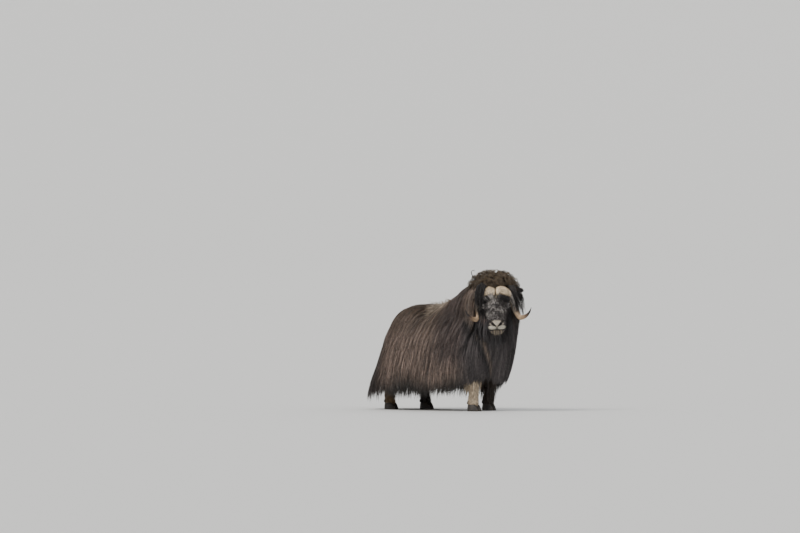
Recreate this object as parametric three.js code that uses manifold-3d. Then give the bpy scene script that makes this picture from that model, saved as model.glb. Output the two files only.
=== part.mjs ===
// A muskox bull that stands with its head turned to its right, as a still, life-size museum model.
// Millimetres. +X points from the rump to the chest, +Y to the animal's left, +Z up, and the floor is at Z = 0.
import * as THREE from "three";
import { mergeVertices } from "three/addons/utils/BufferGeometryUtils.js";
import Module from "manifold-3d";

const wasm = await Module();
wasm.setup();

// Sizes.
const GAP = 0.3; // left between neighbours that touch
const FAR = 3000; // half side of the blocks that part the body

// Planes that part the body: across it, under the neck and over the hanging skirt of hair.
const FLANK_REAR_X = -330;
const FLANK_FRONT_X = 130;
const SHOULDER_FRONT_X = 420;
const NECK_BASE_Z = 820;
const SKIRT_TOP_Z = 440;

// Trunk under the outer half of the coat, by stations along X: back height, belly height, half width.
const TRUNK = [
  { x: -668, back: 760, belly: 620, half: 70 },
  { x: -642, back: 845, belly: 560, half: 165 },
  { x: -570, back: 935, belly: 490, half: 250 },
  { x: -450, back: 1022, belly: 440, half: 315 },
  { x: -300, back: 1074, belly: 415, half: 345 },
  { x: -100, back: 1098, belly: 410, half: 345 },
  { x: 60, back: 1112, belly: 410, half: 338 },
  { x: 200, back: 1156, belly: 410, half: 296 },
  { x: 330, back: 1232, belly: 415, half: 262 },
  { x: 450, back: 1290, belly: 430, half: 240 },
  { x: 550, back: 1294, belly: 470, half: 212 },
  { x: 640, back: 1180, belly: 560, half: 160 },
  { x: 672, back: 1050, belly: 700, half: 70 },
];
const TRUNK_WIDE_SHARE = 0.42; // height of the widest line, as a share of the way from belly to back
const TRUNK_SIDES = 16;
const TRUNK_RINGS = 13;

// Outer face of the hanging coat, by heights: rear and front reach along X, and half width.
const COAT = [
  { z: 100, rear: -940, front: 650, half: 420 },
  { z: 300, rear: -872, front: 702, half: 434 },
  { z: 450, rear: -800, front: 752, half: 432 },
  { z: 600, rear: -754, front: 762, half: 420 },
  { z: 750, rear: -708, front: 750, half: 398 },
  { z: 880, rear: -640, front: 718, half: 360 },
  { z: 980, rear: -555, front: 690, half: 302 },
  { z: 1050, rear: -455, front: 690, half: 215 },
];
const COAT_BOXINESS = 0.72; // exponent of the coat's plan outline: 1 is an ellipse, less is squarer
const COAT_CORE = 62; // how far the core lies inside the outer face
const COAT_CORE_TOP_Z = 1030;
const COAT_CORE_SIDES = 20;
const SKIRT_CORE = { low: 320, thick: 48 }; // band that the skirt's locks grow from

// Height of the skirt's tips along the body.
const HEM = [
  { x: -930, z: 112 },
  { x: -600, z: 130 },
  { x: -430, z: 162 },
  { x: 400, z: 165 },
  { x: 520, z: 215 },
  { x: 640, z: 285 },
  { x: 760, z: 300 },
];

// Hair that hangs in front of the chest from the throat, by heights: middle of its outline and half sizes.
const BIB = [
  { z: 300, x: 715, y: 30, long: 78, wide: 95 },
  { z: 466, x: 748, y: 36, long: 105, wide: 128 },
  { z: 600, x: 748, y: 32, long: 128, wide: 170 },
  { z: 740, x: 738, y: 28, long: 146, wide: 212 },
  { z: 950, x: 700, y: 10, long: 158, wide: 300 },
  { z: 1010, x: 690, y: 0, long: 150, wide: 305 },
];
const BIB_CORE = { inset: 60, low: 640, high: 985 };

// Locks of hair: shares of a lock's full width and thickness along its length. It ends in a point.
const LOCK_STATIONS = [
  { at: 0, wide: 0.74, deep: 0.7 },
  { at: 0.28, wide: 1, deep: 1 },
  { at: 0.6, wide: 0.88, deep: 0.85 },
  { at: 0.86, wide: 0.48, deep: 0.5 },
];
const LOCK_THICK = 17;
const LOCK_OVERLAP = 1.06; // width of a lock as a share of the distance to its neighbour
const LOCK_STEP = 5; // every other lock lies deeper by this, so that neighbours overlap clear of each other
const LOCK_SUNK = 14; // how deep a root goes into the core
const LOCK_RISE = 2.2; // how soon a lock comes out to the face of the coat

// Tiers of hanging locks round the body, from the skirt upwards. A skirt tier ends at the hem.
const LOCK_PITCH = 172;
const SKIRT_TIERS = [
  { root: 390, overHem: 0, under: 19, more: 1 },
  { root: 420, overHem: 52, under: 0, more: 0 },
];
const BODY_TIERS = [
  { root: 630, tip: 335, more: 1 },
  { root: 800, tip: 530, more: 0 },
  { root: 985, tip: 715, more: 1 },
];
const NECK_TIER_FRONT_X = 610; // ahead of this the bib covers the sides of the neck
const CHEST_TIER_FRONT_X = 690; // and here those of the chest
const HEM_SPREAD = 26; // how much the ends of the locks differ in height
const LEAN = -26; // tips lean towards the rump

// Locks that lie on the back and the hump, by their distance from the ridge, in tiers from low to high.
const BACK_LOCKS = {
  rearX: -590,
  frontX: 545,
  pitch: 128,
  length: 265,
  lift: 24,
  nearRidge: 30,
  nextTier: 185,
  lowest: 1030,
};
const SADDLE = { rear: -150, front: 120 }; // short wool, without locks

// Neck, by stations along its middle line, and its half sizes across and up.
const NECK = [
  { at: new THREE.Vector3(330, 0, 940), wide: 268, tall: 284 },
  { at: new THREE.Vector3(500, -5, 1040), wide: 246, tall: 262 },
  { at: new THREE.Vector3(620, -22, 1106), wide: 232, tall: 236 },
  { at: new THREE.Vector3(700, -40, 1140), wide: 212, tall: 215 },
  { at: new THREE.Vector3(750, -70, 1150), wide: 165, tall: 175 },
];
const NECK_SIDES = 18;

// Frizzy mop behind the horns: middle, and half sizes along the gaze, across it and up.
const MOP = {
  centre: new THREE.Vector3(676, -3, 1272),
  size: new THREE.Vector3(185, 256, 182),
  core: 0.74,
  clumps: 28,
  clump: 74,
};

// Head: where the poll stands, how far the head is turned, pitched and rolled.
const POLL = new THREE.Vector3(735, -43, 1208);
const HEAD_TURN = THREE.MathUtils.degToRad(-46);
const HEAD_PITCH = THREE.MathUtils.degToRad(45);
const HEAD_ROLL = THREE.MathUtils.degToRad(3.5);

// Stations from the poll to the lips: half width, height of the brow line and of the jaw line.
const SKULL = [
  { u: -75, half: 80, top: 55, jaw: -90 },
  { u: -30, half: 124, top: 88, jaw: -148 },
  { u: 60, half: 140, top: 100, jaw: -165 },
  { u: 140, half: 146, top: 94, jaw: -163 },
  { u: 190, half: 140, top: 84, jaw: -158 },
  { u: 240, half: 122, top: 74, jaw: -150 },
  { u: 300, half: 106, top: 66, jaw: -140 },
  { u: 360, half: 97, top: 61, jaw: -130 },
  { u: 415, half: 98, top: 59, jaw: -124 },
  { u: 455, half: 99, top: 54, jaw: -116 },
  { u: 480, half: 91, top: 42, jaw: -100 },
  { u: 495, half: 70, top: 22, jaw: -72 },
];
const HEAD_SIDES = 18;

const EYE = { u: 196, v: 131, w: 30, radius: 20 };
const MOUTH_W = -18; // height of the line between the lips
const NOSTRIL = { outer: [453, 68, 56], inner: [492, 14, 30], half: 10 };
const EAR = { u: -10, v: 128, w: 16, length: 158, half: 44, cup: 24, wall: 8, folds: 5, bend: 3 };
const HORN = [
  { at: [72, 7, 114], wide: 56, thick: 26 },
  { at: [70, 70, 117], wide: 57, thick: 30 },
  { at: [84, 130, 88], wide: 47, thick: 33 },
  { at: [110, 166, 26], wide: 37, thick: 33 },
  { at: [146, 182, -36], wide: 33, thick: 31 },
  { at: [186, 194, -84], wide: 30, thick: 29 },
  { at: [232, 214, -112], wide: 27, thick: 27 },
  { at: [268, 250, -82], wide: 23, thick: 23 },
  { at: [284, 292, -36], wide: 16, thick: 16 },
  { at: [282, 322, 12], wide: 9, thick: 9 },
];
const HORN_TIP = [270, 340, 62];
const HOOK_SHIFT = { from: 126, to: 232, left: 22 }; // how far both hooks stand off to the left, from u to u
const HORN_SIDES = 10;
const HORN_RINGS = 16;

// Beard locks under the jaw, in the head's own frame, with their length.
const BEARD = [
  { u: 230, v: 80, length: 190 },
  { u: 330, v: 66, length: 155 },
  { u: 205, v: 30, length: 222 },
  { u: 300, v: 27, length: 195 },
];

// Legs: middle of the foot, of the knee or hock and of the top, seen from above.
const HOOF_TOP_Z = 62;
const LEGS = {
  front_left: { foot: [450, 178], top: [470, 150], knee: [455, 178], front: true },
  front_right: { foot: [566, -182], top: [520, -150], knee: [552, -180], front: true },
  hind_left: { foot: [-405, 168], top: [-430, 160], knee: [-478, 166], front: false },
  hind_right: { foot: [-598, -170], top: [-500, -160], knee: [-652, -170], front: false },
};
const LEG_SIDES = 10;

// Tail: a short stub at the rump, by stations down its middle, with its half width and half depth.
const TAIL = [
  { x: -590, z: 905, wide: 36, deep: 26 },
  { x: -648, z: 868, wide: 36, deep: 26 },
  { x: -690, z: 812, wide: 33, deep: 24 },
  { x: -712, z: 750, wide: 27, deep: 20 },
];
const TAIL_TIP = { x: -722, z: 712 };

// Numbers that look random but are the same in every run.
function dice(seed) {
  let state = seed;
  return (low, high) => {
    state = (state * 1664525 + 1013904223) % 4294967296;
    return low + ((high - low) * state) / 4294967296;
  };
}

// Curves and solids.

// Smooth value of one field of a table at a given key, by a Catmull-Rom spline through its rows.
function smoothField(table, key, at, field) {
  const last = table.length - 1;
  let i = 0;
  while (i < last - 1 && table[i + 1][key] < at) i += 1;
  const a = table[i];
  const b = table[i + 1];
  const before = table[Math.max(0, i - 1)];
  const after = table[Math.min(last, i + 2)];
  const span = b[key] - a[key];
  const t = THREE.MathUtils.clamp((at - a[key]) / span, 0, 1);
  const slopeA = i === 0 ? b[field] - a[field] : ((b[field] - before[field]) * span) / (b[key] - before[key]);
  const slopeB = i + 1 === last ? b[field] - a[field] : ((after[field] - a[field]) * span) / (after[key] - a[key]);
  const t2 = t * t;
  const t3 = t2 * t;
  return (
    (2 * t3 - 3 * t2 + 1) * a[field] + (t3 - 2 * t2 + t) * slopeA + (3 * t2 - 2 * t3) * b[field] + (t3 - t2) * slopeB
  );
}

const power = (value, exponent) => Math.sign(value) * Math.abs(value) ** exponent;

// Points of a closed ring, from a function of the angle.
function ringOf(sides, pointAt, turn = 0) {
  return Array.from({ length: sides }, (_, i) => pointAt(((i + turn) / sides) * 2 * Math.PI));
}

// Closed surface through rings of points. A first or last ring of one point is a tip.
function loft(rings) {
  const positions = [];
  const faces = [];
  const starts = rings.map((ring) => {
    const start = positions.length / 3;
    ring.forEach((p) => positions.push(p.x, p.y, p.z));
    return start;
  });
  const sides = Math.max(...rings.map((ring) => ring.length));
  for (let r = 0; r + 1 < rings.length; r += 1) {
    const a = starts[r];
    const b = starts[r + 1];
    for (let i = 0; i < sides; i += 1) {
      const j = (i + 1) % sides;
      if (rings[r + 1].length === 1) {
        faces.push(a + i, a + j, b);
      } else if (rings[r].length === 1) {
        faces.push(a, b + j, b + i);
      } else {
        faces.push(a + i, a + j, b + j, a + i, b + j, b + i);
      }
    }
  }
  const cap = (ring, start, turned) => {
    if (ring.length === 1) return;
    let hub = start;
    let first = 1;
    let count = ring.length - 2;
    if (ring.length > 4) {
      const centre = ring.reduce((sum, p) => sum.add(p), new THREE.Vector3()).divideScalar(ring.length);
      hub = positions.length / 3;
      positions.push(centre.x, centre.y, centre.z);
      first = 0;
      count = ring.length;
    }
    for (let i = 0; i < count; i += 1) {
      const p = start + ((first + i) % ring.length);
      const q = start + ((first + i + 1) % ring.length);
      faces.push(hub, turned ? q : p, turned ? p : q);
    }
  };
  cap(rings[0], starts[0], true);
  cap(rings.at(-1), starts.at(-1), false);
  const geometry = new THREE.BufferGeometry();
  geometry.setAttribute("position", new THREE.Float32BufferAttribute(positions, 3));
  geometry.setIndex(faces);
  return geometry;
}

// Solid of a closed geometry, turned right side out.
function solid(geometry) {
  const bare = geometry.clone();
  bare.deleteAttribute("normal");
  bare.deleteAttribute("uv");
  const merged = mergeVertices(bare, 1e-3);
  const vertProperties = new Float32Array(merged.attributes.position.array);
  const triVerts = new Uint32Array(merged.index.array);
  const made = new wasm.Manifold(new wasm.Mesh({ numProp: 3, vertProperties, triVerts }));
  if (made.volume() > 0) return made;
  for (let i = 0; i < triVerts.length; i += 3) {
    [triVerts[i + 1], triVerts[i + 2]] = [triVerts[i + 2], triVerts[i + 1]];
  }
  return new wasm.Manifold(new wasm.Mesh({ numProp: 3, vertProperties, triVerts }));
}

const join = (solids) => solids.reduce((all, one) => all.add(one));

// The largest closed piece of a solid, without any hollow sealed inside it.
function largest(made) {
  return made.decompose().reduce((best, one) => (one.volume() > best.volume() ? one : best));
}

function geometryOf(made) {
  const mesh = made.getMesh();
  const positions = new Float32Array(mesh.numVert * 3);
  for (let i = 0; i < mesh.numVert; i += 1) {
    positions.set(mesh.vertProperties.subarray(i * mesh.numProp, i * mesh.numProp + 3), i * 3);
  }
  const geometry = new THREE.BufferGeometry();
  geometry.setAttribute("position", new THREE.BufferAttribute(positions, 3));
  geometry.setIndex(new THREE.BufferAttribute(new Uint32Array(mesh.triVerts), 1));
  geometry.computeVertexNormals();
  return geometry;
}

// Block between two corners, for parting the body.
function block(low, high) {
  const size = new THREE.Vector3().subVectors(high, low);
  const box = new THREE.BoxGeometry(size.x, size.y, size.z);
  box.translate((low.x + high.x) / 2, (low.y + high.y) / 2, (low.z + high.z) / 2);
  return solid(box);
}

// Ball of few sides, stretched, turned and set in place.
function ball(centre, size, turn = new THREE.Euler(), detail = 1) {
  const shape = new THREE.IcosahedronGeometry(1, detail);
  shape.scale(size.x, size.y, size.z);
  shape.applyQuaternion(new THREE.Quaternion().setFromEuler(turn));
  shape.translate(centre.x, centre.y, centre.z);
  return solid(shape);
}

// Locks. Each is first a way and a size, so that a slightly grown copy can be cut from its neighbours.

const DOWN = new THREE.Vector3(0, 0, -1);

// A flat, tapered lock. Its way gives a point and the outward direction at each share of its length.
// The section is a low triangle with two thin edges and a ridge outside, so a grown one spreads most at its edges.
function lock(way, width, thick, grow = 0) {
  const rings = LOCK_STATIONS.map(({ at, wide, deep }) => {
    const along = way.point(at + 0.03).sub(way.point(at - 0.03));
    const side = new THREE.Vector3().crossVectors(along, way.out(at)).normalize();
    const out = new THREE.Vector3().crossVectors(side, along).normalize();
    const half = (width * wide) / 2 + 9 * grow;
    const base = way.point(at).addScaledVector(out, -thick * deep - grow);
    return [
      base.clone().addScaledVector(side, -half),
      way.point(at).addScaledVector(out, grow),
      base.clone().addScaledVector(side, half),
    ];
  });
  rings.push([way.point(1 + (4 * grow) / 100)]);
  return solid(loft(rings));
}

const shaped = (locks, grow = 0) => locks.map(({ way, width, thick = LOCK_THICK }) => lock(way, width, thick, grow));

const rise = (share) => 1 - Math.max(0, 1 - share) ** LOCK_RISE;

// Way down an outline of hanging hair, from inside the core at the root out to the outline's face at the tip.
function hanging(outline, { angle, root, tip, depth, under = 0, lean = 0, sway = 0, phase = 0 }) {
  const edge = (z) => {
    const step = outline(angle + 0.02, z, 0).sub(outline(angle - 0.02, z, 0));
    return new THREE.Vector3(step.x, step.y, 0).normalize();
  };
  return {
    point: (share) => {
      const z = THREE.MathUtils.lerp(root, tip, share);
      const inset = depth * (1 - rise(share)) + under * (1 - 0.7 * share * share);
      const slide = lean * share * share + sway * Math.sin(phase + 4.5 * share) * share;
      return outline(angle, z, inset).addScaledVector(edge(z), slide);
    },
    out: (share) => {
      const across = edge(THREE.MathUtils.lerp(root, tip, share));
      return new THREE.Vector3(across.y, -across.x, 0);
    },
  };
}

// Way over a rounded surface, given as a function of a place, an angle and a height over it.
function lying(surface, from, to, lift, sway = 0, phase = 0) {
  const at = (share, more = 0) => {
    const place = THREE.MathUtils.lerp(from.place, to.place, share) + sway * Math.sin(phase + 4.5 * share) * share;
    const angle = THREE.MathUtils.lerp(from.angle, to.angle, share);
    return surface(place, angle, THREE.MathUtils.lerp(-LOCK_SUNK, lift + LOCK_THICK, rise(share)) + more);
  };
  return {
    point: (share) => at(share),
    out: (share) => at(share, 1).sub(at(share)).normalize(),
  };
}

// Way of a lock that leaves a root and then falls freely.
function falling(root, out, down, length, reach, sway = 0) {
  const side = new THREE.Vector3().crossVectors(down, out).normalize();
  return {
    point: (share) =>
      root
        .clone()
        .addScaledVector(out, THREE.MathUtils.lerp(-LOCK_SUNK, reach, rise(share)))
        .addScaledVector(side, sway * Math.sin(5 * share) * share)
        .addScaledVector(down, length * power(share, 1.25)),
    out: () => out,
  };
}

// Trunk.

// Point of the trunk at a station and an angle, 0 at the left side and 90 degrees at the back.
function trunkPoint(x, angle, grow) {
  const back = smoothField(TRUNK, "x", x, "back");
  const belly = smoothField(TRUNK, "x", x, "belly");
  const half = smoothField(TRUNK, "x", x, "half");
  const wide = belly + (back - belly) * TRUNK_WIDE_SHARE;
  const up = Math.sin(angle) > 0;
  const y = (half + grow) * power(Math.cos(angle), up ? 0.9 : 0.62);
  const reach = up ? back - wide + grow : wide - belly + grow;
  return new THREE.Vector3(x, y, wide + reach * power(Math.sin(angle), up ? 0.95 : 0.8));
}

function trunk(grow = 0) {
  const rings = [];
  for (let r = 0; r <= TRUNK_RINGS; r += 1) {
    const share = r / TRUNK_RINGS;
    const crowded = share - (0.75 * Math.sin(2 * Math.PI * share)) / (2 * Math.PI);
    const x = THREE.MathUtils.lerp(TRUNK[0].x, TRUNK.at(-1).x, crowded);
    const ring = ringOf(TRUNK_SIDES, (angle) => trunkPoint(x, angle, grow), 0.5);
    const end = r === 0 ? -grow : grow;
    if (r === 0 || r === TRUNK_RINGS) ring.forEach((p) => p.setX(p.x + end));
    rings.push(ring);
  }
  return solid(loft(rings));
}

// Angle on the trunk's left side at a distance from the ridge, measured over the surface.
function angleFromRidge(x, distance) {
  const step = 0.02;
  let angle = Math.PI / 2;
  let walked = 0;
  let last = trunkPoint(x, angle, 0);
  while (walked < distance && angle > 0) {
    angle -= step;
    const next = trunkPoint(x, angle, 0);
    walked += next.distanceTo(last);
    last = next;
  }
  return angle;
}

// Coat that hangs round the body.

// Point of the coat's plan outline at a height. The angle runs from the front over the left side.
function coatPoint(angle, z, inset) {
  const rear = smoothField(COAT, "z", z, "rear") + inset;
  const front = smoothField(COAT, "z", z, "front") - inset;
  const half = smoothField(COAT, "z", z, "half") - inset;
  return new THREE.Vector3(
    (front + rear) / 2 + ((front - rear) / 2) * power(Math.cos(angle), COAT_BOXINESS),
    half * power(Math.sin(angle), COAT_BOXINESS),
    z,
  );
}

function bibPoint(angle, z, inset) {
  const at = (field) => smoothField(BIB, "z", z, field);
  return new THREE.Vector3(
    at("x") + (at("long") - inset) * Math.cos(angle),
    at("y") + (at("wide") - inset) * Math.sin(angle),
    z,
  );
}

// Solid inside an outline, between two heights.
function filled(outline, inset, low, high, steps, sides) {
  const rings = [];
  for (let r = 0; r <= steps; r += 1) {
    const z = THREE.MathUtils.lerp(low, high, r / steps);
    rings.push(ringOf(sides, (angle) => outline(angle, z, inset), 0.5));
  }
  return solid(loft(rings));
}

// Angles of evenly spaced places along the coat's outline on one side, between two planes across the body.
function spacedAngles(z, rearX, frontX, side, count) {
  const rear = coatPoint(Math.PI, z, 0).x;
  const front = coatPoint(0, z, 0).x;
  const angleAt = (x) => {
    const share = THREE.MathUtils.clamp((x - (front + rear) / 2) / ((front - rear) / 2), -1, 1);
    return Math.acos(power(share, 1 / COAT_BOXINESS));
  };
  const first = angleAt(frontX);
  const last = angleAt(rearX);
  const steps = 80;
  const lengths = [0];
  for (let i = 1; i <= steps; i += 1) {
    const a = coatPoint(THREE.MathUtils.lerp(first, last, (i - 1) / steps), z, 0);
    const b = coatPoint(THREE.MathUtils.lerp(first, last, i / steps), z, 0);
    lengths.push(lengths.at(-1) + a.distanceTo(b));
  }
  const total = lengths.at(-1);
  const places = Math.max(1, Math.round(total / LOCK_PITCH) + count);
  const angles = Array.from({ length: places }, (_, k) => {
    const wanted = ((k + 0.5) / places) * total;
    const i = lengths.findIndex((length) => length >= wanted);
    const share = (i - 1 + (wanted - lengths[i - 1]) / (lengths[i] - lengths[i - 1])) / steps;
    return side * THREE.MathUtils.lerp(first, last, share);
  });
  return { angles, pitch: total / places };
}

// One tier of hanging locks over a stretch of the body.
function tier({ root, tip, overHem, under = 0, more }, rearX, frontX, side, random) {
  const { angles, pitch } = spacedAngles(root, rearX, frontX, side, more);
  return angles.map((angle, k) => {
    const x = coatPoint(angle, root, 0).x;
    const end = overHem === undefined ? tip : smoothField(HEM, "x", x, "z") + overHem;
    const raised = overHem === 0 ? random(0, HEM_SPREAD) : random(-HEM_SPREAD, HEM_SPREAD);
    const way = hanging(coatPoint, {
      angle,
      root: root + random(-8, 8),
      tip: end + raised,
      depth: COAT_CORE + 2,
      under: under + (k % 2) * LOCK_STEP,
      lean: -side * LEAN * (x < FLANK_REAR_X ? 0.3 : 1),
      sway: random(4, 12),
      phase: random(0, 6),
    });
    return { way, width: pitch * LOCK_OVERLAP * random(0.97, 1.03) };
  });
}

// Locks on the back of one side, between two planes across the body.
function backLocks(rearX, frontX, side, random) {
  const columns = Math.round((frontX - rearX) / BACK_LOCKS.pitch);
  const made = [];
  for (let k = 0; k < columns; k += 1) {
    const x = THREE.MathUtils.lerp(rearX, frontX, (k + 0.5) / columns);
    const tiers = [];
    for (let from = BACK_LOCKS.nearRidge; ; from += BACK_LOCKS.nextTier) {
      const angle = angleFromRidge(x, from);
      if (trunkPoint(x, angle, 0).z < BACK_LOCKS.lowest) break;
      tiers.push(from);
    }
    if (x > SADDLE.rear && x < SADDLE.front) continue;
    tiers.forEach((from) => {
      const turned = (distance) => {
        const angle = angleFromRidge(x, distance);
        return side > 0 ? angle : Math.PI - angle;
      };
      const way = lying(
        (place, angle, grow) => trunkPoint(place, angle, grow),
        { place: x + 10, angle: turned(from) },
        { place: x + LEAN, angle: turned(from + BACK_LOCKS.length) },
        BACK_LOCKS.lift + (k % 2) * LOCK_STEP,
        random(3, 9),
        random(0, 6),
      );
      made.push({ way, width: ((frontX - rearX) / columns) * LOCK_OVERLAP });
    });
  }
  return made;
}

// Neck, mane, bib and mop.

// Point of the neck at a share of its length and an angle, 0 at the left side and 90 degrees on top.
const neckLine = new THREE.CatmullRomCurve3(NECK.map((station) => station.at));
function neckPoint(share, angle, grow) {
  const t = THREE.MathUtils.clamp(share, 0, 1);
  const k = Math.min(NECK.length - 2, Math.floor(t * (NECK.length - 1)));
  const f = t * (NECK.length - 1) - k;
  const wide = THREE.MathUtils.lerp(NECK[k].wide, NECK[k + 1].wide, f) + grow;
  const tall = THREE.MathUtils.lerp(NECK[k].tall, NECK[k + 1].tall, f) + grow;
  const along = neckLine.getTangent(t);
  const side = new THREE.Vector3(0, 0, 1).cross(along).normalize();
  const up = new THREE.Vector3().crossVectors(along, side);
  return neckLine
    .getPoint(t)
    .addScaledVector(side, wide * Math.cos(angle))
    .addScaledVector(up, tall * Math.sin(angle));
}

function neckTube() {
  const steps = 6;
  const rings = [];
  for (let r = 0; r <= steps; r += 1) {
    rings.push(ringOf(NECK_SIDES, (angle) => neckPoint(r / steps, angle, 0)));
  }
  return solid(loft(rings));
}

// Rounded clumps set close over the mop's core, left out where the bosses of the horns lie.
function mop(random) {
  const { centre, size, core, clumps, clump } = MOP;
  const turn = new THREE.Euler(0, 0, HEAD_TURN);
  const made = [ball(centre, size.clone().multiplyScalar(core), turn, 1)];
  const golden = Math.PI * (3 - Math.sqrt(5));
  for (let k = 0; k < clumps; k += 1) {
    const up = 1 - (1.42 * (k + 0.5)) / clumps;
    const level = Math.sqrt(1 - up * up);
    const way = new THREE.Vector3(level * Math.cos(golden * k), level * Math.sin(golden * k), up);
    const boxy = new THREE.Vector3(power(way.x, 0.85), power(way.y, 0.85), power(way.z, 0.8));
    const girth = new THREE.Vector3(random(0.9, 1.2), random(0.9, 1.2), random(0.75, 1)).multiplyScalar(clump);
    const at = boxy.multiply(size.clone().subScalar(clump * 0.88)).applyEuler(turn).add(centre);
    made.push(ball(at, girth, new THREE.Euler(random(0, 3), random(0, 3), random(0, 3)), 0));
  }
  return made;
}

// Long locks of the throat, in two tiers that hang in front of the chest.
function bibLocks(random) {
  const made = [];
  const rows = [
    { root: 800, tips: [450, 330, 470], spread: 1.45, count: 6, under: 10 },
    { root: 935, tips: [650, 545, 665], spread: 1.8, count: 7, under: 0 },
  ];
  rows.forEach(({ root, tips, spread, count, under }) => {
    for (let k = 0; k < count; k += 1) {
      const share = (2 * (k + 0.5)) / count - 1;
      const angle = spread * share;
      const tip = THREE.MathUtils.lerp(tips[1], share < 0 ? tips[0] : tips[2], Math.abs(share));
      const way = hanging(bibPoint, {
        angle,
        root,
        tip: tip + random(-22, 22),
        depth: BIB_CORE.inset + LOCK_SUNK,
        under: under + (k % 2) * LOCK_STEP,
        sway: random(3, 9),
        phase: random(0, 6),
      });
      const girth = bibPoint(angle + 0.1, root, 0).distanceTo(bibPoint(angle - 0.1, root, 0)) / 0.2;
      made.push({ way, width: ((girth * 2 * spread) / count) * LOCK_OVERLAP });
    }
  });
  return made;
}

// Mane on the sides of the neck: an upper tier over its surface and a lower one that falls from its sides.
function maneLocks(random) {
  const made = [];
  const upper = { shares: [0.2, 0.42, 0.64], from: 1.05, to: -0.1, lift: 28 };
  const lower = { shares: [0.1, 0.32, 0.54, 0.76], angle: 0.3, length: 290, reach: 72 };
  const width = 112;
  [1, -1].forEach((side) => {
    const turned = (angle) => (side > 0 ? angle : Math.PI - angle);
    upper.shares.forEach((share, k) => {
      const way = lying(
        neckPoint,
        { place: share, angle: turned(upper.from) },
        { place: share - 0.02, angle: turned(upper.to) },
        upper.lift + (k % 2) * LOCK_STEP,
        0.008,
        random(0, 6),
      );
      made.push({ way, width });
    });
    lower.shares.forEach((share, k) => {
      const root = neckPoint(share, turned(lower.angle), 0);
      const out = neckPoint(share, turned(0), 1).sub(neckPoint(share, turned(0), 0)).setZ(0).normalize();
      const reach = lower.reach - (k % 2) * LOCK_STEP;
      const length = lower.length * random(0.92, 1.08);
      made.push({ way: falling(root, out, DOWN, length, reach, random(-8, 8)), width });
    });
  });
  return made;
}

// Head, in its own frame: X from poll to nose, Y to the animal's left, Z up from the brow.
const headMatrix = new THREE.Matrix4().compose(
  POLL,
  new THREE.Quaternion().setFromEuler(new THREE.Euler(HEAD_ROLL, HEAD_PITCH, HEAD_TURN, "ZYX")),
  new THREE.Vector3(1, 1, 1),
);
const headDown = DOWN.clone().transformDirection(headMatrix.clone().invert());

function headLoft(grow = 0) {
  return loft(
    SKULL.map((s, k) => {
      const middle = (s.top + s.jaw) / 2 + 14;
      const end = (k === 0 ? -grow : 0) + (k === SKULL.length - 1 ? grow : 0);
      return ringOf(HEAD_SIDES, (angle) => {
        const up = Math.sin(angle) > 0;
        const reach = up ? s.top - middle + grow : middle - s.jaw + grow;
        return new THREE.Vector3(
          s.u + end,
          (s.half + grow) * power(Math.cos(angle), 0.8),
          middle + reach * power(Math.sin(angle), 0.85),
        );
      });
    }),
  );
}

function horn(side, grow = 0) {
  const path = new THREE.CatmullRomCurve3(
    [...HORN.map((h) => h.at), HORN_TIP].map(([u, v, w]) => {
      const share = THREE.MathUtils.smoothstep(u, HOOK_SHIFT.from, HOOK_SHIFT.to);
      return new THREE.Vector3(u, v * side + HOOK_SHIFT.left * share, w);
    }),
  );
  const rings = [];
  for (let r = 0; r < HORN_RINGS; r += 1) {
    const t = r / HORN_RINGS;
    const k = Math.min(HORN.length - 1, Math.floor(t * HORN.length));
    const next = HORN[k + 1] ?? { wide: 2, thick: 2 };
    const f = t * HORN.length - k;
    const wide = THREE.MathUtils.lerp(HORN[k].wide, next.wide, f) + grow;
    const thick = THREE.MathUtils.lerp(HORN[k].thick, next.thick, f) + grow;
    const along = path.getTangent(t);
    const out = new THREE.Vector3().crossVectors(along, new THREE.Vector3(1, 0, 0)).normalize();
    const across = new THREE.Vector3().crossVectors(out, along);
    const centre = path.getPoint(t);
    if (r === 0) centre.y -= grow * side;
    rings.push(
      ringOf(HORN_SIDES, (angle) =>
        centre
          .clone()
          .addScaledVector(across, wide * Math.cos(angle))
          .addScaledVector(out, thick * Math.sin(angle)),
      ),
    );
  }
  rings.push([path.getPoint(1).addScaledVector(path.getTangent(1), grow)]);
  return loft(rings);
}

function eye(side, grow = 0) {
  return new THREE.SphereGeometry(EYE.radius + grow, 10, 7).translate(EYE.u, EYE.v * side, EYE.w);
}

// A lid: a bent ridge over or under the eye, thickest in its middle.
function lid(side, upper) {
  const reach = EYE.radius + 3;
  const rings = [];
  const steps = 5;
  for (let r = 0; r <= steps; r += 1) {
    const angle = THREE.MathUtils.lerp(0.12, 0.88, r / steps) * Math.PI;
    const thick = (upper ? 8 : 6) * Math.sin(angle) + 2;
    const along = Math.cos(angle) * reach * 1.15;
    const rise = Math.sin(angle) * reach * (upper ? 0.8 : -0.72);
    const centre = new THREE.Vector3(EYE.u - along, side * (EYE.v + 11 - 0.012 * along * along), EYE.w + rise);
    rings.push(
      ringOf(4, (turn) =>
        centre.clone().add(new THREE.Vector3(0, side * thick * 1.3 * Math.cos(turn), thick * Math.sin(turn))),
      ),
    );
  }
  return solid(loft(rings));
}

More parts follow.
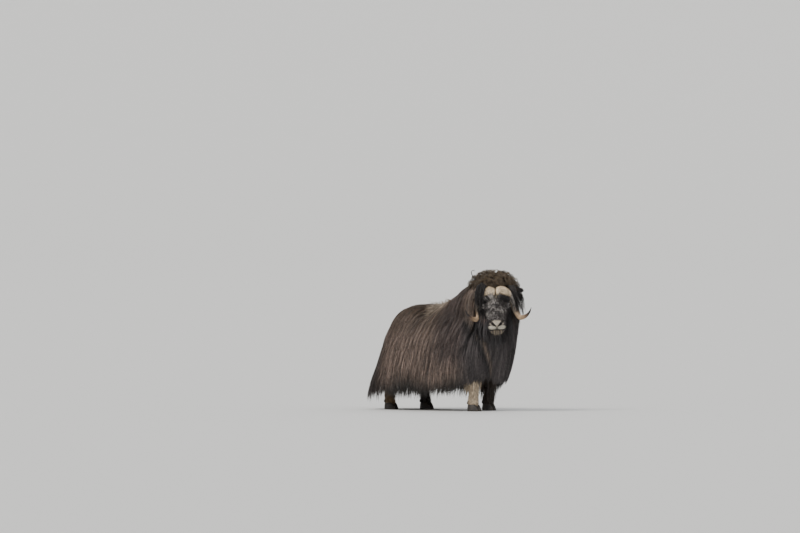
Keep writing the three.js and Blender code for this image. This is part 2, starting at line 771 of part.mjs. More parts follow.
// Groove between the lips: a thin wedge bent round the muzzle.
function mouthLine() {
  const steps = 10;
  const rings = [];
  for (let r = 0; r <= steps; r += 1) {
    const angle = THREE.MathUtils.lerp(-0.5, 0.5, r / steps) * Math.PI * 1.04;
    const edge = (size) =>
      new THREE.Vector3(
        395 + (108 + size) * power(Math.cos(angle), 0.62),
        (97 + size) * power(Math.sin(angle), 0.7),
        MOUTH_W + 10 * Math.sin(angle) ** 2,
      );
    rings.push([
      edge(-13),
      edge(12).add(new THREE.Vector3(0, 0, 7)),
      edge(12).add(new THREE.Vector3(0, 0, -7)),
    ]);
  }
  return solid(loft(rings));
}

function nostril(side) {
  const outer = new THREE.Vector3(...NOSTRIL.outer);
  const inner = new THREE.Vector3(...NOSTRIL.inner);
  const middle = outer.clone().add(inner).divideScalar(2);
  const way = inner.sub(outer);
  const turn = new THREE.Quaternion().setFromUnitVectors(
    new THREE.Vector3(1, 0, 0),
    new THREE.Vector3(way.x, way.y * side, way.z).normalize(),
  );
  return ball(
    middle.multiply(new THREE.Vector3(1, side, 1)),
    new THREE.Vector3(way.length() / 2, NOSTRIL.half, NOSTRIL.half),
    new THREE.Euler().setFromQuaternion(turn),
    0,
  );
}

// Ear: a leaf bent into a cup that opens forwards and down, on a short stalk. A grown one is filled inside its
// cup, so that it keeps the hair out of there.
function ear(side, grow = 0) {
  const rings = [];
  const steps = 5;
  const turns = Array.from({ length: EAR.folds }, (_, i) => (i / (EAR.folds - 1) - 0.5) * EAR.bend);
  for (let r = 0; r < steps; r += 1) {
    const share = r / steps;
    const half = EAR.half * Math.sin(Math.PI * (0.16 + 0.76 * share));
    const cup = r === 0 ? 2 : EAR.cup * Math.sin(Math.PI * Math.min(1, 0.25 + share * 0.7));
    const wall = EAR.wall * (1.5 - share) + (r === 0 ? 8 : 0);
    const at = (across, depth) =>
      new THREE.Vector3(
        EAR.u - 38 * share - across * 0.45 + depth * 0.82,
        (EAR.v + EAR.length * share - (r === 0 ? grow : 0)) * side,
        EAR.w + 4 - 26 * share * share + across * 0.84 + depth * 0.5,
      );
    const outer = turns.map((turn) =>
      at((half + grow) * Math.sin(turn), cup * (1 - Math.cos(turn)) - wall / 2 - grow),
    );
    const inner = (grow > 0 ? [turns.at(-1), turns[0]] : [...turns].reverse()).map((turn) =>
      at((half * (grow > 0 ? 1 : 0.94) + grow) * Math.sin(turn), cup * (1 - Math.cos(turn)) + wall / 2 + grow),
    );
    rings.push([...outer, ...inner]);
  }
  rings.push([new THREE.Vector3(EAR.u - 27, (EAR.v + EAR.length + 2 * grow) * side, EAR.w - 15)]);
  return loft(rings);
}

function beardLocks() {
  return BEARD.flatMap(({ u, v, length }) =>
    [1, -1].map((side) => {
      const jaw = smoothField(SKULL, "u", u, "jaw");
      const root = new THREE.Vector3(u, v * side, jaw + 26 + 0.0035 * v * v);
      const out = new THREE.Vector3(0.25, (side * v) / 110, -0.8).normalize();
      const flat = new THREE.Vector3(0.6, (side * v) / 60, 0.3).normalize();
      const way = falling(root, out, headDown, length, 34, side * 8);
      return { way: { point: way.point, out: () => flat }, width: 74, thick: 15 };
    }),
  );
}

function head() {
  const features = [
    solid(headLoft()),
    ...[1, -1].map((side) =>
      ball(new THREE.Vector3(EYE.u - 4, side * (EYE.v - 18), EYE.w), new THREE.Vector3(46, 34, 36), undefined, 1),
    ),
    ...[1, -1].flatMap((side) => [lid(side, true), lid(side, false)]),
    ...[1, -1].map((side) =>
      ball(new THREE.Vector3(466, side * 50, 2), new THREE.Vector3(42, 52, 28), undefined, 1),
    ),
    ball(new THREE.Vector3(466, 0, 34), new THREE.Vector3(32, 64, 26), undefined, 1),
    ball(new THREE.Vector3(446, 0, -94), new THREE.Vector3(52, 74, 38), undefined, 1),
  ];
  return join(features).subtract(join([mouthLine(), nostril(1), nostril(-1)]));
}

// Legs and hooves.

function legStations({ foot, top, knee, front }) {
  const between = (a, b, share) => [
    THREE.MathUtils.lerp(a[0], b[0], share),
    THREE.MathUtils.lerp(a[1], b[1], share),
  ];
  const shifted = (at, dx) => [at[0] + dx, at[1]];
  return front
    ? [
        { at: top, z: 560, along: 86, across: 78 },
        { at: between(top, knee, 0.5), z: 430, along: 70, across: 66 },
        { at: knee, z: 325, along: 62, across: 60 },
        { at: between(knee, foot, 0.35), z: 262, along: 54, across: 52 },
        { at: between(knee, foot, 0.7), z: 185, along: 50, across: 48 },
        { at: shifted(foot, -14), z: 122, along: 55, across: 55 },
        { at: shifted(foot, -12), z: 92, along: 60, across: 58 },
        { at: shifted(foot, -6), z: HOOF_TOP_Z + GAP, along: 58, across: 55 },
      ]
    : [
        { at: top, z: 600, along: 150, across: 100 },
        { at: between(top, knee, 0.55), z: 470, along: 108, across: 82 },
        { at: shifted(knee, 4), z: 352, along: 68, across: 56 },
        { at: shifted(between(knee, foot, 0.28), -8), z: 282, along: 56, across: 50 },
        { at: shifted(between(knee, foot, 0.66), -10), z: 195, along: 48, across: 46 },
        { at: shifted(foot, -16), z: 122, along: 53, across: 53 },
        { at: shifted(foot, -13), z: 92, along: 58, across: 56 },
        { at: shifted(foot, -6), z: HOOF_TOP_Z + GAP, along: 57, across: 54 },
      ];
}

function leg(data, grow = 0) {
  const rings = legStations(data).map(({ at, z, along, across }) =>
    ringOf(
      LEG_SIDES,
      (angle) =>
        new THREE.Vector3(at[0] + (along + grow) * Math.cos(angle), at[1] + (across + grow) * Math.sin(angle), z),
    ),
  );
  const dewclaws = [1, -1].map((side) =>
    ball(
      new THREE.Vector3(data.foot[0] - 66, data.foot[1] + side * 24, 90),
      new THREE.Vector3(15 + grow, 14 + grow, 20 + grow),
      undefined,
      0,
    ),
  );
  return join([solid(loft(rings)), ...dewclaws]);
}

function hoof() {
  const levels = [
    { z: 0, size: 1, back: 0 },
    { z: 20, size: 0.98, back: -3 },
    { z: HOOF_TOP_Z, size: 0.76, back: -14 },
  ];
  const claw = (side) =>
    solid(
      loft(
        levels.map(({ z, size, back }) =>
          ringOf(
            10,
            (angle) =>
              new THREE.Vector3(
                back + 8 + 66 * size * Math.cos(angle),
                side * (34 + 31 * size * Math.sin(angle) - 8 * Math.max(0, Math.cos(angle))),
                z,
              ),
          ),
        ),
      ),
    );
  const heelBase = 22;
  const heel = new THREE.BoxGeometry(66, 38, HOOF_TOP_Z - heelBase);
  heel.translate(-8, 0, heelBase + (HOOF_TOP_Z - heelBase) / 2);
  return join([claw(1), claw(-1), solid(heel)]);
}

// Tail, hanging from the rump, with its own locks.
function tail(grow = 0) {
  const rings = TAIL.map(({ x, z, wide, deep }, k) => {
    const before = TAIL[Math.max(0, k - 1)];
    const after = TAIL[k + 1] ?? TAIL_TIP;
    const along = new THREE.Vector3(after.x - before.x, 0, after.z - before.z).normalize();
    const out = new THREE.Vector3(along.z, 0, -along.x);
    const end = k === 0 ? -2 * grow : 0;
    return ringOf(8, (angle) =>
      new THREE.Vector3(x, (wide + grow) * Math.sin(angle), z)
        .addScaledVector(out, (deep + grow) * Math.cos(angle))
        .addScaledVector(along, end),
    );
  });
  rings.push([new THREE.Vector3(TAIL_TIP.x, 0, TAIL_TIP.z - 3 * grow)]);
  const down = new THREE.Vector3(-0.12, 0, -1).normalize();
  const locks = [-1, 0, 1].map((place) => {
    const out = new THREE.Vector3(-1, 0.9 * place, 0.1).normalize();
    const root = new THREE.Vector3(-700 + 6 * Math.abs(place), 13 * place, 800 - 26 * Math.abs(place));
    return { way: falling(root, out, down, 175 - 20 * Math.abs(place), 26, 5 * place), width: 44, thick: 14 };
  });
  return join([solid(loft(rings)), ...shaped(locks, grow)]);
}

// Assembly.

const material = (color, roughness) => new THREE.MeshStandardMaterial({ color, roughness });
const fur = material(0x4a3a32, 0.95);
const darkFur = material(0x2c2624, 0.95);
const faceFur = material(0x4b4744, 0.9);
const paleFur = material(0xb5a78f, 0.95);
const hornSheath = material(0xb9a184, 0.45);
const wetEye = material(0x1a1310, 0.08);
const hoofHorn = material(0x1d1a18, 0.5);

const body = new THREE.Group();
function place(name, geometry, finish, parent = body) {
  const mesh = new THREE.Mesh(geometry, finish);
  mesh.name = name;
  parent.add(mesh);
  return mesh;
}

const room = (rearX, frontX, side, low = -FAR, high = FAR) =>
  block(
    new THREE.Vector3(rearX + GAP / 2, side > 0 ? GAP / 2 : -FAR, low),
    new THREE.Vector3(frontX - GAP / 2, side < 0 ? -GAP / 2 : FAR, high),
  );

const underTorso = block(new THREE.Vector3(-FAR, -FAR, -FAR), new THREE.Vector3(FAR, FAR, SKIRT_TOP_Z));
const grownLegs = join(Object.values(LEGS).map((data) => leg(data, GAP))).intersect(underTorso);
const coatCore = filled(coatPoint, COAT_CORE, SKIRT_TOP_Z + GAP, COAT_CORE_TOP_Z, 5, COAT_CORE_SIDES);
const core = trunk().add(coatCore);
const legRoom = trunk(GAP).add(
  filled(coatPoint, COAT_CORE - GAP, SKIRT_TOP_Z, COAT_CORE_TOP_Z + GAP, 5, COAT_CORE_SIDES),
);
const skirtCore = filled(coatPoint, COAT_CORE, SKIRT_CORE.low, SKIRT_TOP_Z, 2, COAT_CORE_SIDES)
  .subtract(filled(coatPoint, COAT_CORE + SKIRT_CORE.thick, SKIRT_CORE.low - 40, FAR, 1, COAT_CORE_SIDES))
  .subtract(trunk(GAP));

const random = dice(301);
const sides = [1, -1];
const sided = (side) => (side > 0 ? "left" : "right");
const torsos = [
  { name: "hindquarters", skirt: "skirt_rear", rear: -FAR, front: FLANK_REAR_X },
  { name: "flank", skirt: "skirt_flank", rear: FLANK_REAR_X, front: FLANK_FRONT_X },
  { name: "shoulder", skirt: "skirt_shoulder", rear: FLANK_FRONT_X, front: SHOULDER_FRONT_X },
];
const grownTail = tail(GAP);
torsos.forEach(({ name, skirt, rear, front }) => {
  sides.forEach((side) => {
    const whole = room(rear, front, side);
    const tiers = BODY_TIERS.flatMap((row) => tier(row, rear, front, side, random));
    const back = backLocks(Math.max(rear, BACK_LOCKS.rearX), front, side, random);
    const torso = join([core, ...shaped(tiers), ...shaped(back)])
      .intersect(whole)
      .subtract(grownTail)
      .subtract(grownLegs);
    place(`${name}_${sided(side)}`, geometryOf(largest(torso)), fur);
    const hem = SKIRT_TIERS.flatMap((row) => tier(row, rear, front, side, random));
    const fringe = join([skirtCore, ...shaped(hem)])
      .intersect(room(rear, front, side, -FAR, SKIRT_TOP_Z))
      .subtract(join(shaped(tiers, GAP)))
      .subtract(grownLegs);
    place(`${skirt}_${sided(side)}`, geometryOf(largest(fringe)), fur);
  });
});

// Everything ahead of the shoulders, between two heights.
const ahead = (low, high) =>
  block(new THREE.Vector3(SHOULDER_FRONT_X + GAP / 2, -FAR, low), new THREE.Vector3(FAR, FAR, high));
const frontTier = (row, frontX) => sides.flatMap((side) => tier(row, SHOULDER_FRONT_X, frontX, side, random));

const beard = beardLocks();
const headCutters = [headLoft(GAP), horn(1, 2 * GAP), horn(-1, 2 * GAP), ear(1, 5 * GAP), ear(-1, 5 * GAP)]
  .map((shape) => solid(shape))
  .concat(shaped(beard, GAP));
const bibFall = bibLocks(random);
const bib = (grow) =>
  join([
    filled(bibPoint, BIB_CORE.inset - grow, BIB_CORE.low - grow, BIB_CORE.high + grow, 3, 16),
    ...shaped(bibFall, grow),
  ]);
const neckFall = [
  ...maneLocks(random),
  ...sides.flatMap((side) => backLocks(SHOULDER_FRONT_X, BACK_LOCKS.frontX, side, random)),
  ...frontTier(BODY_TIERS[2], NECK_TIER_FRONT_X),
];
const neck = join([
  join([core, neckTube(), ...mop(random)]).intersect(ahead(NECK_BASE_Z + GAP / 2, FAR)),
  bib(0),
  ...shaped(neckFall),
])
  .intersect(ahead(-FAR, FAR))
  .subtract(join(headCutters).transform(headMatrix.elements));
place("neck", geometryOf(largest(neck)), fur);

const grownNeckFall = bib(GAP).add(join(shaped(neckFall, GAP)));
const chestFall = [...frontTier(BODY_TIERS[0], FAR), ...frontTier(BODY_TIERS[1], CHEST_TIER_FRONT_X)];
const chest = join([core.intersect(ahead(SKIRT_TOP_Z, NECK_BASE_Z - GAP / 2)), ...shaped(chestFall)])
  .intersect(ahead(-FAR, NECK_BASE_Z - GAP / 2))
  .subtract(grownNeckFall)
  .subtract(grownLegs);
place("chest", geometryOf(largest(chest)), darkFur);
const frontHem = SKIRT_TIERS.flatMap((row) => frontTier(row, FAR));
const skirtFront = join([skirtCore, ...shaped(frontHem)])
  .subtract(grownNeckFall)
  .subtract(join(shaped(chestFall, GAP)))
  .subtract(grownLegs);
sides.forEach((side) => {
  const half = skirtFront.intersect(room(SHOULDER_FRONT_X, FAR, side, -FAR, SKIRT_TOP_Z));
  place(`skirt_front_${sided(side)}`, geometryOf(largest(half)), darkFur);
});

const headGroup = new THREE.Group();
headGroup.applyMatrix4(headMatrix);
body.add(headGroup);
const grownHorns = join(sides.map((side) => solid(horn(side, GAP))));
const grownEyes = join(sides.map((side) => solid(eye(side, GAP))));
const face = join([head(), ...shaped(beard)]).subtract(grownHorns).subtract(grownEyes);
place("head", geometryOf(largest(face)), faceFur, headGroup);
sides.forEach((side) => {
  place(`horn_${sided(side)}`, horn(side), hornSheath, headGroup);
  place(`eye_${sided(side)}`, eye(side), wetEye, headGroup);
  const shell = solid(ear(side)).subtract(solid(headLoft(GAP))).subtract(grownHorns);
  place(`ear_${sided(side)}`, geometryOf(largest(shell)), darkFur, headGroup);
});

Object.entries(LEGS).forEach(([name, data]) => {
  place(`leg_${name}`, geometryOf(largest(leg(data).intersect(underTorso).subtract(legRoom))), paleFur);
  const foot = place(`hoof_${name}`, geometryOf(hoof()), hoofHorn);
  foot.position.set(data.foot[0], data.foot[1], 0);
});
place("tail", geometryOf(largest(tail())), fur);

// The origin is on the floor, under the middle of the whole animal.
const bounds = new THREE.Box3().setFromObject(body, true);
body.position.set(-(bounds.min.x + bounds.max.x) / 2, -(bounds.min.y + bounds.max.y) / 2, 0);

export default body;
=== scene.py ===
import math

import bpy
import numpy as np
from mathutils import Matrix, Vector, noise
from mathutils.bvhtree import BVHTree


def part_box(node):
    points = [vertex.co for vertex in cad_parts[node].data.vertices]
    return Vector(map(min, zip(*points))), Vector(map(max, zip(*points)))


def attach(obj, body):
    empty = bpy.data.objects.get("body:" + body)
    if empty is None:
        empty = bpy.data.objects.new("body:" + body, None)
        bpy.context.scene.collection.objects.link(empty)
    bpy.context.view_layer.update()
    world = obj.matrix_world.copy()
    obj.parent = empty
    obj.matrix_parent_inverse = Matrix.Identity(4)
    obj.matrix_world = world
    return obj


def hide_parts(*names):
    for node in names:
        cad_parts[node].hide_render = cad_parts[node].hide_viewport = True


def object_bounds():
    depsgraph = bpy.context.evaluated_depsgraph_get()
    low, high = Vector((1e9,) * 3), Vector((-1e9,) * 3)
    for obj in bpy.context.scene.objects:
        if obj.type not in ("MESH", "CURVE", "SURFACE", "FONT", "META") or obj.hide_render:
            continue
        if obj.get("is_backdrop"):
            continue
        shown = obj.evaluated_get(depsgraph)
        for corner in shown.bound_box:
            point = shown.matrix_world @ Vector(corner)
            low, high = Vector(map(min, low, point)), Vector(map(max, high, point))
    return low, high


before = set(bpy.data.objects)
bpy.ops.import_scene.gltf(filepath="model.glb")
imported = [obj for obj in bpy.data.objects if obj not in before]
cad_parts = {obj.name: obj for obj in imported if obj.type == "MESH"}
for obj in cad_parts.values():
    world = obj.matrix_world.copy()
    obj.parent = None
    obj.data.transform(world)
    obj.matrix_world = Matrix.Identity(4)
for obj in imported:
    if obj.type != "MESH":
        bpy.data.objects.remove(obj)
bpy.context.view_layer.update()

# Lengths are metres. The animal is made in a frame of its own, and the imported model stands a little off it.
ownHoofLow = (0.3903, 0.1145)  # lowest corner of the left fore hoof in the animal's own frame
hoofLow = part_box("hoof_front_left")[0]
shift = Vector((hoofLow.x - ownHoofLow[0], hoofLow.y - ownHoofLow[1], 0))
dice = np.random.default_rng(7)
bothSides = ((1, "left"), (-1, "right"))
print("frame loaded, shift", [round(v, 4) for v in shift])


class Wire:
    # a socket of a material's nodes, which can stand in a sum
    def __init__(self, paint, socket):
        self.paint, self.socket = paint, socket

    def calc(self, operation, a, b):
        return self.paint.add("ShaderNodeMath", {"operation": operation}, {0: a, 1: b})

    def __add__(self, other):
        return self.calc("ADD", self, other)

    def __radd__(self, other):
        return self.calc("ADD", other, self)

    def __sub__(self, other):
        return self.calc("SUBTRACT", self, other)

    def __rsub__(self, other):
        return self.calc("SUBTRACT", other, self)

    def __mul__(self, other):
        return self.calc("MULTIPLY", self, other)


class Paint:
    # a material, the one way to add a node to it, and the groups of nodes that several materials share
    def __init__(self, name):
        self.material = bpy.data.materials.new(name)
        self.material.use_nodes = True
        self.tree = self.material.node_tree
        self.tree.nodes.clear()

    def add(self, kind, settings=None, inputs=None, out=0):
        node = self.tree.nodes.new(kind)
        for key, value in (settings or {}).items():
            if key == "stops":
                ramp = node.color_ramp
                for k, (at, colour) in enumerate(value):
                    stop = ramp.elements[k] if k < 2 else ramp.elements.new(at)
                    stop.position, stop.color = at, colour
            else:
                setattr(node, key, value)
        for key, value in (inputs or {}).items():
            if isinstance(value, Wire):
                self.tree.links.new(value.socket, node.inputs[key])
            else:
                node.inputs[key].default_value = value
        return Wire(self, node.outputs[out] if node.outputs else None)

    def objectPlace(self):
        return self.add("ShaderNodeTexCoord", out="Object")

    def noise(self, vector, scale, detail):
        return self.add("ShaderNodeTexNoise", None, {"Vector": vector, "Scale": scale, "Detail": detail})

    def bump(self, height, distance, strength=0.9):
        return self.add("ShaderNodeBump", None, {"Strength": strength, "Distance": distance, "Height": height})

    def tinted(self, gain):
        # the colours that a mesh carries, times a wire
        tint = self.add("ShaderNodeAttribute", {"attribute_name": "tint"})
        grey = self.add("ShaderNodeCombineColor", None, {0: gain, 1: gain, 2: gain})
        multiply = {"data_type": "RGBA", "blend_type": "MULTIPLY"}
        return self.add("ShaderNodeMix", multiply, {0: 1.0, 6: tint, 7: grey}, 2)

    def finish(self, inputs):
        shader = self.add("ShaderNodeBsdfPrincipled", None, inputs)
        self.add("ShaderNodeOutputMaterial", None, {"Surface": shader})
        return self.material


def linear(*screen):
    # a colour given as 0 to 255 on screen, as linear numbers
    screen = np.array(screen) / 255
    return np.where(screen <= 0.04045, screen / 12.92, ((screen + 0.055) / 1.055) ** 2.4)


def select(piece):
    bpy.ops.object.select_all(action="DESELECT")
    piece.select_set(True)
    bpy.context.view_layer.objects.active = piece


def applyModifier(piece, kind, **settings):
    select(piece)
    bpy.ops.object.modifier_add(type=kind)
    modifier = piece.modifiers[-1]
    for key, value in settings.items():
        setattr(modifier, key, value)
    bpy.ops.object.modifier_apply(modifier=modifier.name)


def applyPlace(piece):
    select(piece)
    bpy.ops.object.transform_apply(location=True, rotation=True, scale=True)


def joined(name, pieces):
    bpy.ops.object.select_all(action="DESELECT")
    for piece in pieces:
        piece.select_set(True)
    bpy.context.view_layer.objects.active = pieces[0]
    bpy.ops.object.join()
    pieces[0].name = pieces[0].data.name = name
    return pieces[0]


def editAll():
    bpy.ops.object.mode_set(mode="EDIT")
    bpy.ops.mesh.select_all(action="SELECT")


def circle(vertices, radius=1):
    # a filled circle, left in edit mode
    bpy.ops.object.select_all(action="DESELECT")
    bpy.ops.mesh.primitive_circle_add(vertices=vertices, radius=radius, fill_type="NGON", location=(0, 0, 0))
    editAll()


def placed(name, place=Matrix.Identity(4)):
    # names the active piece and moves it out of the frame it was made in
    piece = bpy.context.object
    piece.name = piece.data.name = name
    piece.data.transform(place)
    return piece


def closed(name, place=Matrix.Identity(4)):
    bpy.ops.mesh.select_all(action="SELECT")
    bpy.ops.mesh.normals_make_consistent(inside=False)
    bpy.ops.object.mode_set(mode="OBJECT")
    return placed(name, place)


def tube(name, stations, corner=0.0, sides=24, place=Matrix.Identity(4)):
    # Closed tube through stations (x, y, z, half size along x, half size along y), each extruded from the last.
    # A corner above 0 starts from a square with rounded corners instead of a circle.
    if corner:
        bpy.ops.object.select_all(action="DESELECT")
        bpy.ops.mesh.primitive_plane_add(size=2, location=(0, 0, 0))
        editAll()
        bpy.ops.mesh.bevel(offset=corner, segments=sides // 4, affect="VERTICES")
    else:
        circle(sides)
    last = np.array(stations[0], float)
    bpy.ops.transform.resize(value=(*last[3:], 1))
    bpy.ops.transform.translate(value=tuple(last[:3]))
    for station in np.array(stations[1:], float):
        bpy.ops.mesh.extrude_region_move(TRANSFORM_OT_translate={"value": tuple(station[:3] - last[:3])})
        bpy.ops.transform.resize(value=(*(station[3:] / last[3:]), 1), center_override=tuple(station[:3]))
        last = station
    return closed(name, place)


def ball(name, at, size, turn=(0, 0, 0), place=Matrix.Identity(4)):
    bpy.ops.object.select_all(action="DESELECT")
    bpy.ops.mesh.primitive_uv_sphere_add(segments=24, ring_count=14, radius=1, location=at, rotation=turn)
    bpy.ops.transform.resize(value=size, orient_type="LOCAL")
    applyPlace(bpy.context.object)
    return placed(name, place)


def turned(before, after, middle):
    # turns what is selected from one set of axes to another; with no window the operator turns the other way
    gap = (after @ before.transposed()).to_euler("XYZ")
    for axis, angle in zip("XYZ", gap):
        bpy.ops.transform.rotate(value=-angle, orient_axis=axis, orient_type="GLOBAL", center_override=middle)


def sweep(name, line, sizes, sides):
    # Closed tube that follows a line, each section square to it: half sizes along x and beside it.
    wish = np.array([1.0, 0, 0])
    frames = []
    for way in unit(np.gradient(line, axis=0)):
        first = unit(wish - way * (wish @ way))
        frames.append(Matrix(np.stack([first, np.cross(way, first), way], 1).tolist()))
    circle(sides)
    bpy.ops.transform.resize(value=(*sizes[0], 1))
    turned(Matrix.Identity(3), frames[0], (0, 0, 0))
    bpy.ops.transform.translate(value=tuple(line[0]))
    for k in range(1, len(line)):
        bpy.ops.mesh.extrude_region_move(TRANSFORM_OT_translate={"value": tuple(line[k] - line[k - 1])})
        turned(frames[k - 1], frames[k], tuple(line[k]))
        bpy.ops.transform.resize(
            value=(*(sizes[k] / sizes[k - 1]), 1),
            orient_type="GLOBAL",
            orient_matrix=frames[k],
            orient_matrix_type="GLOBAL",
            center_override=tuple(line[k]),
        )
    return closed(name)


def unwrapped(piece, margin, outward=True):
    # turns the faces outwards, lays them out on a map and makes them smooth
    select(piece)
    editAll()
    if outward:
        bpy.ops.mesh.normals_make_consistent(inside=False)
    bpy.ops.uv.smart_project(angle_limit=math.radians(66), island_margin=margin)
    bpy.ops.object.mode_set(mode="OBJECT")
    piece.data.uv_layers[0].name = "OFBake"
    bpy.ops.object.shade_smooth()
    return Unwrap(piece)


def curveThrough(points, count):
    # smooth values through rows of numbers
    points = np.asarray(points, float)
    ends = np.concatenate([[2 * points[0] - points[1]], points, [2 * points[-1] - points[-2]]])
    at = np.linspace(0, len(points) - 1, count)
    k = np.minimum(at.astype(int), len(points) - 2)
    t = (at - k)[:, None]
    a, b, c, d = (ends[k + i] for i in range(4))
    return 0.5 * (2 * b + (c - a) * t + (2 * a - 5 * b + 4 * c - d) * t**2 + (3 * b - a - 3 * c + d) * t**3)


def read(items, what, width=3, kind=float):
    # one attribute of all points, corners or faces, a row for each
    values = np.empty(len(items) * width, kind)
    items.foreach_get(what, values)
    return values.reshape(-1, width)


def setPoints(piece, points):
    piece.data.vertices.foreach_set("co", points.reshape(-1))
    piece.data.update()


def giveTint(mesh, colours):
    # a colour for each point, or one for them all
    tint = np.ones((len(mesh.vertices), 4))
    tint[:, :3] = colours
    layer = mesh.color_attributes.new(name="tint", type="FLOAT_COLOR", domain="POINT")
    layer.data.foreach_set("color", tint.reshape(-1))


class Surface:
    # the nearest places and smooth normals of a shape
    def __init__(self, piece):
        piece.data.calc_loop_triangles()
        self.points = read(piece.data.vertices, "co")
        self.normals = read(piece.data.vertices, "normal")
        self.triangles = read(piece.data.loop_triangles, "vertices", kind=int)
        self.tree = BVHTree.FromPolygons(self.points.tolist(), self.triangles.tolist())

    def weights(self, places, faces):
        a, b, c = (self.points[self.triangles[faces, k]] for k in range(3))
        whole = np.cross(b - a, c - a)
        area = np.maximum((whole**2).sum(1), 1e-18)
        first = (np.cross(c - b, places - b) * whole).sum(1) / area
        second = (np.cross(a - c, places - c) * whole).sum(1) / area
        return np.stack([first, second, 1 - first - second], 1)

    def nearest(self, places):
        found = [self.tree.find_nearest(Vector(p)) for p in places]
        at = np.array([tuple(f[0]) for f in found])
        faces = np.array([f[2] for f in found])
        shares = self.weights(at, faces)
        normals = (self.normals[self.triangles[faces]] * shares[:, :, None]).sum(1)
        return at, unit(normals), faces, shares


class Unwrap(Surface):
    # a surface that also gives the place on its map
    def __init__(self, piece):
        super().__init__(piece)
        loops = read(piece.data.loop_triangles, "loops", kind=int)
        self.uvs = read(piece.data.uv_layers["OFBake"].data, "uv", 2)[loops]

    def onMap(self, places):
        faces, shares = self.nearest(places)[2:]
        return (self.uvs[faces] * shares[:, :, None]).sum(1)


def unit(vectors):
    return vectors / np.maximum(np.linalg.norm(vectors, axis=-1, keepdims=True), 1e-9)


def pressed(vectors, normals):
    # the part of each vector that lies along the surface
    return vectors - normals * (vectors * normals).sum(-1, keepdims=True)


def follow(table, at):
    # reads a table of pairs, with straight lines between them
    return np.interp(at, *zip(*table))


def smoothStep(low, high, value):
    share = np.clip((value - low) / (high - low), 0, 1)
    return share * share * (3 - 2 * share)


def peak(value, middle, half):
    # 1 at the middle, falling off on both sides
    return np.exp(-(((value - middle) / half) ** 2))


# The shape that the outer face of the long coat follows, from the ridge of the back down to the floor.
body = {
    "back": [  # x, top, half width
        (-0.70, 0.76, 0.12), (-0.66, 0.875, 0.17), (-0.60, 0.965, 0.225), (-0.50, 1.037, 0.28),
        (-0.34, 1.088, 0.345), (-0.10, 1.100, 0.345), (0.08, 1.106, 0.325), (0.22, 1.172, 0.295),
        (0.33, 1.246, 0.268), (0.45, 1.318, 0.252), (0.55, 1.345, 0.23), (0.64, 1.23, 0.19),
        (0.68, 1.10, 0.11),
    ],
    "coat": [  # z, rear, front, half width
        (0.0, -0.95, 0.53, 0.40), (0.1, -0.94, 0.56, 0.41), (0.3, -0.868, 0.66, 0.43),
        (0.45, -0.788, 0.742, 0.432), (0.6, -0.735, 0.758, 0.42), (0.75, -0.68, 0.75, 0.398),
        (0.88, -0.60, 0.718, 0.35), (0.98, -0.53, 0.69, 0.295), (1.05, -0.44, 0.69, 0.21),
    ],
    "bib": [  # z, x, y, half length, half width
        (0.2, 0.7, 0.03, 0.06, 0.08), (0.3, 0.715, 0.03, 0.078, 0.095), (0.466, 0.748, 0.036, 0.105, 0.128),
        (0.6, 0.748, 0.032, 0.128, 0.17), (0.74, 0.738, 0.028, 0.146, 0.212), (0.88, 0.712, 0.02, 0.156, 0.292),
        (0.96, 0.7, 0.02, 0.155, 0.322), (1.05, 0.68, 0.02, 0.145, 0.325), (1.12, 0.66, 0.01, 0.13, 0.285),
    ],
    "neck": [  # x, y, z, half width, half height
        (0.33, 0, 0.94, 0.295, 0.325), (0.5, -0.005, 1.04, 0.275, 0.305), (0.62, -0.022, 1.105, 0.262, 0.272),
        (0.7, -0.04, 1.14, 0.24, 0.235), (0.74, -0.065, 1.15, 0.19, 0.19),
    ],
    "corners": {"back": 0.85, "coat": 0.75},  # share of an outline that is rounded
    "voxel": 0.02,
}
alongX = Matrix(((0, 0, 1, 0), (1, 0, 0, 0), (0, 1, 0, 0), (0, 0, 0, 1)))  # a tube's length turned from Z to X


def bodyTubes(grow, coatLow, low):
    # back, hanging coat, bib and neck, grown by a distance; coat and bib start at one height, the back at another
    back = [
        (0, (top + low + grow * 0.5) / 2, x, half + grow, (top - low + grow * 0.5) / 2)
        for x, top, half in body["back"]
    ]
    hanging = [
        ((rear + front) / 2, 0, z, (front - rear) / 2 + grow, half + grow)
        for z, rear, front, half in body["coat"]
        if z >= coatLow
    ]
    bib = [(x, y, z, long + grow, wide + grow) for z, x, y, long, wide in body["bib"] if z >= coatLow]
    neck = [(y, z, x, wide + grow, tall + grow) for x, y, z, wide, tall in body["neck"]]
    return [
        tube("back", back, corner=body["corners"]["back"], place=alongX),
        tube("coatMass", hanging, corner=body["corners"]["coat"], sides=32),
        tube("bib", bib),
        tube("neckTube", neck, place=alongX),
    ]


hull = joined("hull", bodyTubes(grow=0.0, coatLow=0.0, low=0.3))
applyModifier(hull, "REMESH", mode="VOXEL", voxel_size=body["voxel"])
applyModifier(hull, "SMOOTH", factor=0.6, iterations=14)
hullSurface = Surface(hull)
print("hull of the long coat", len(hullSurface.points))

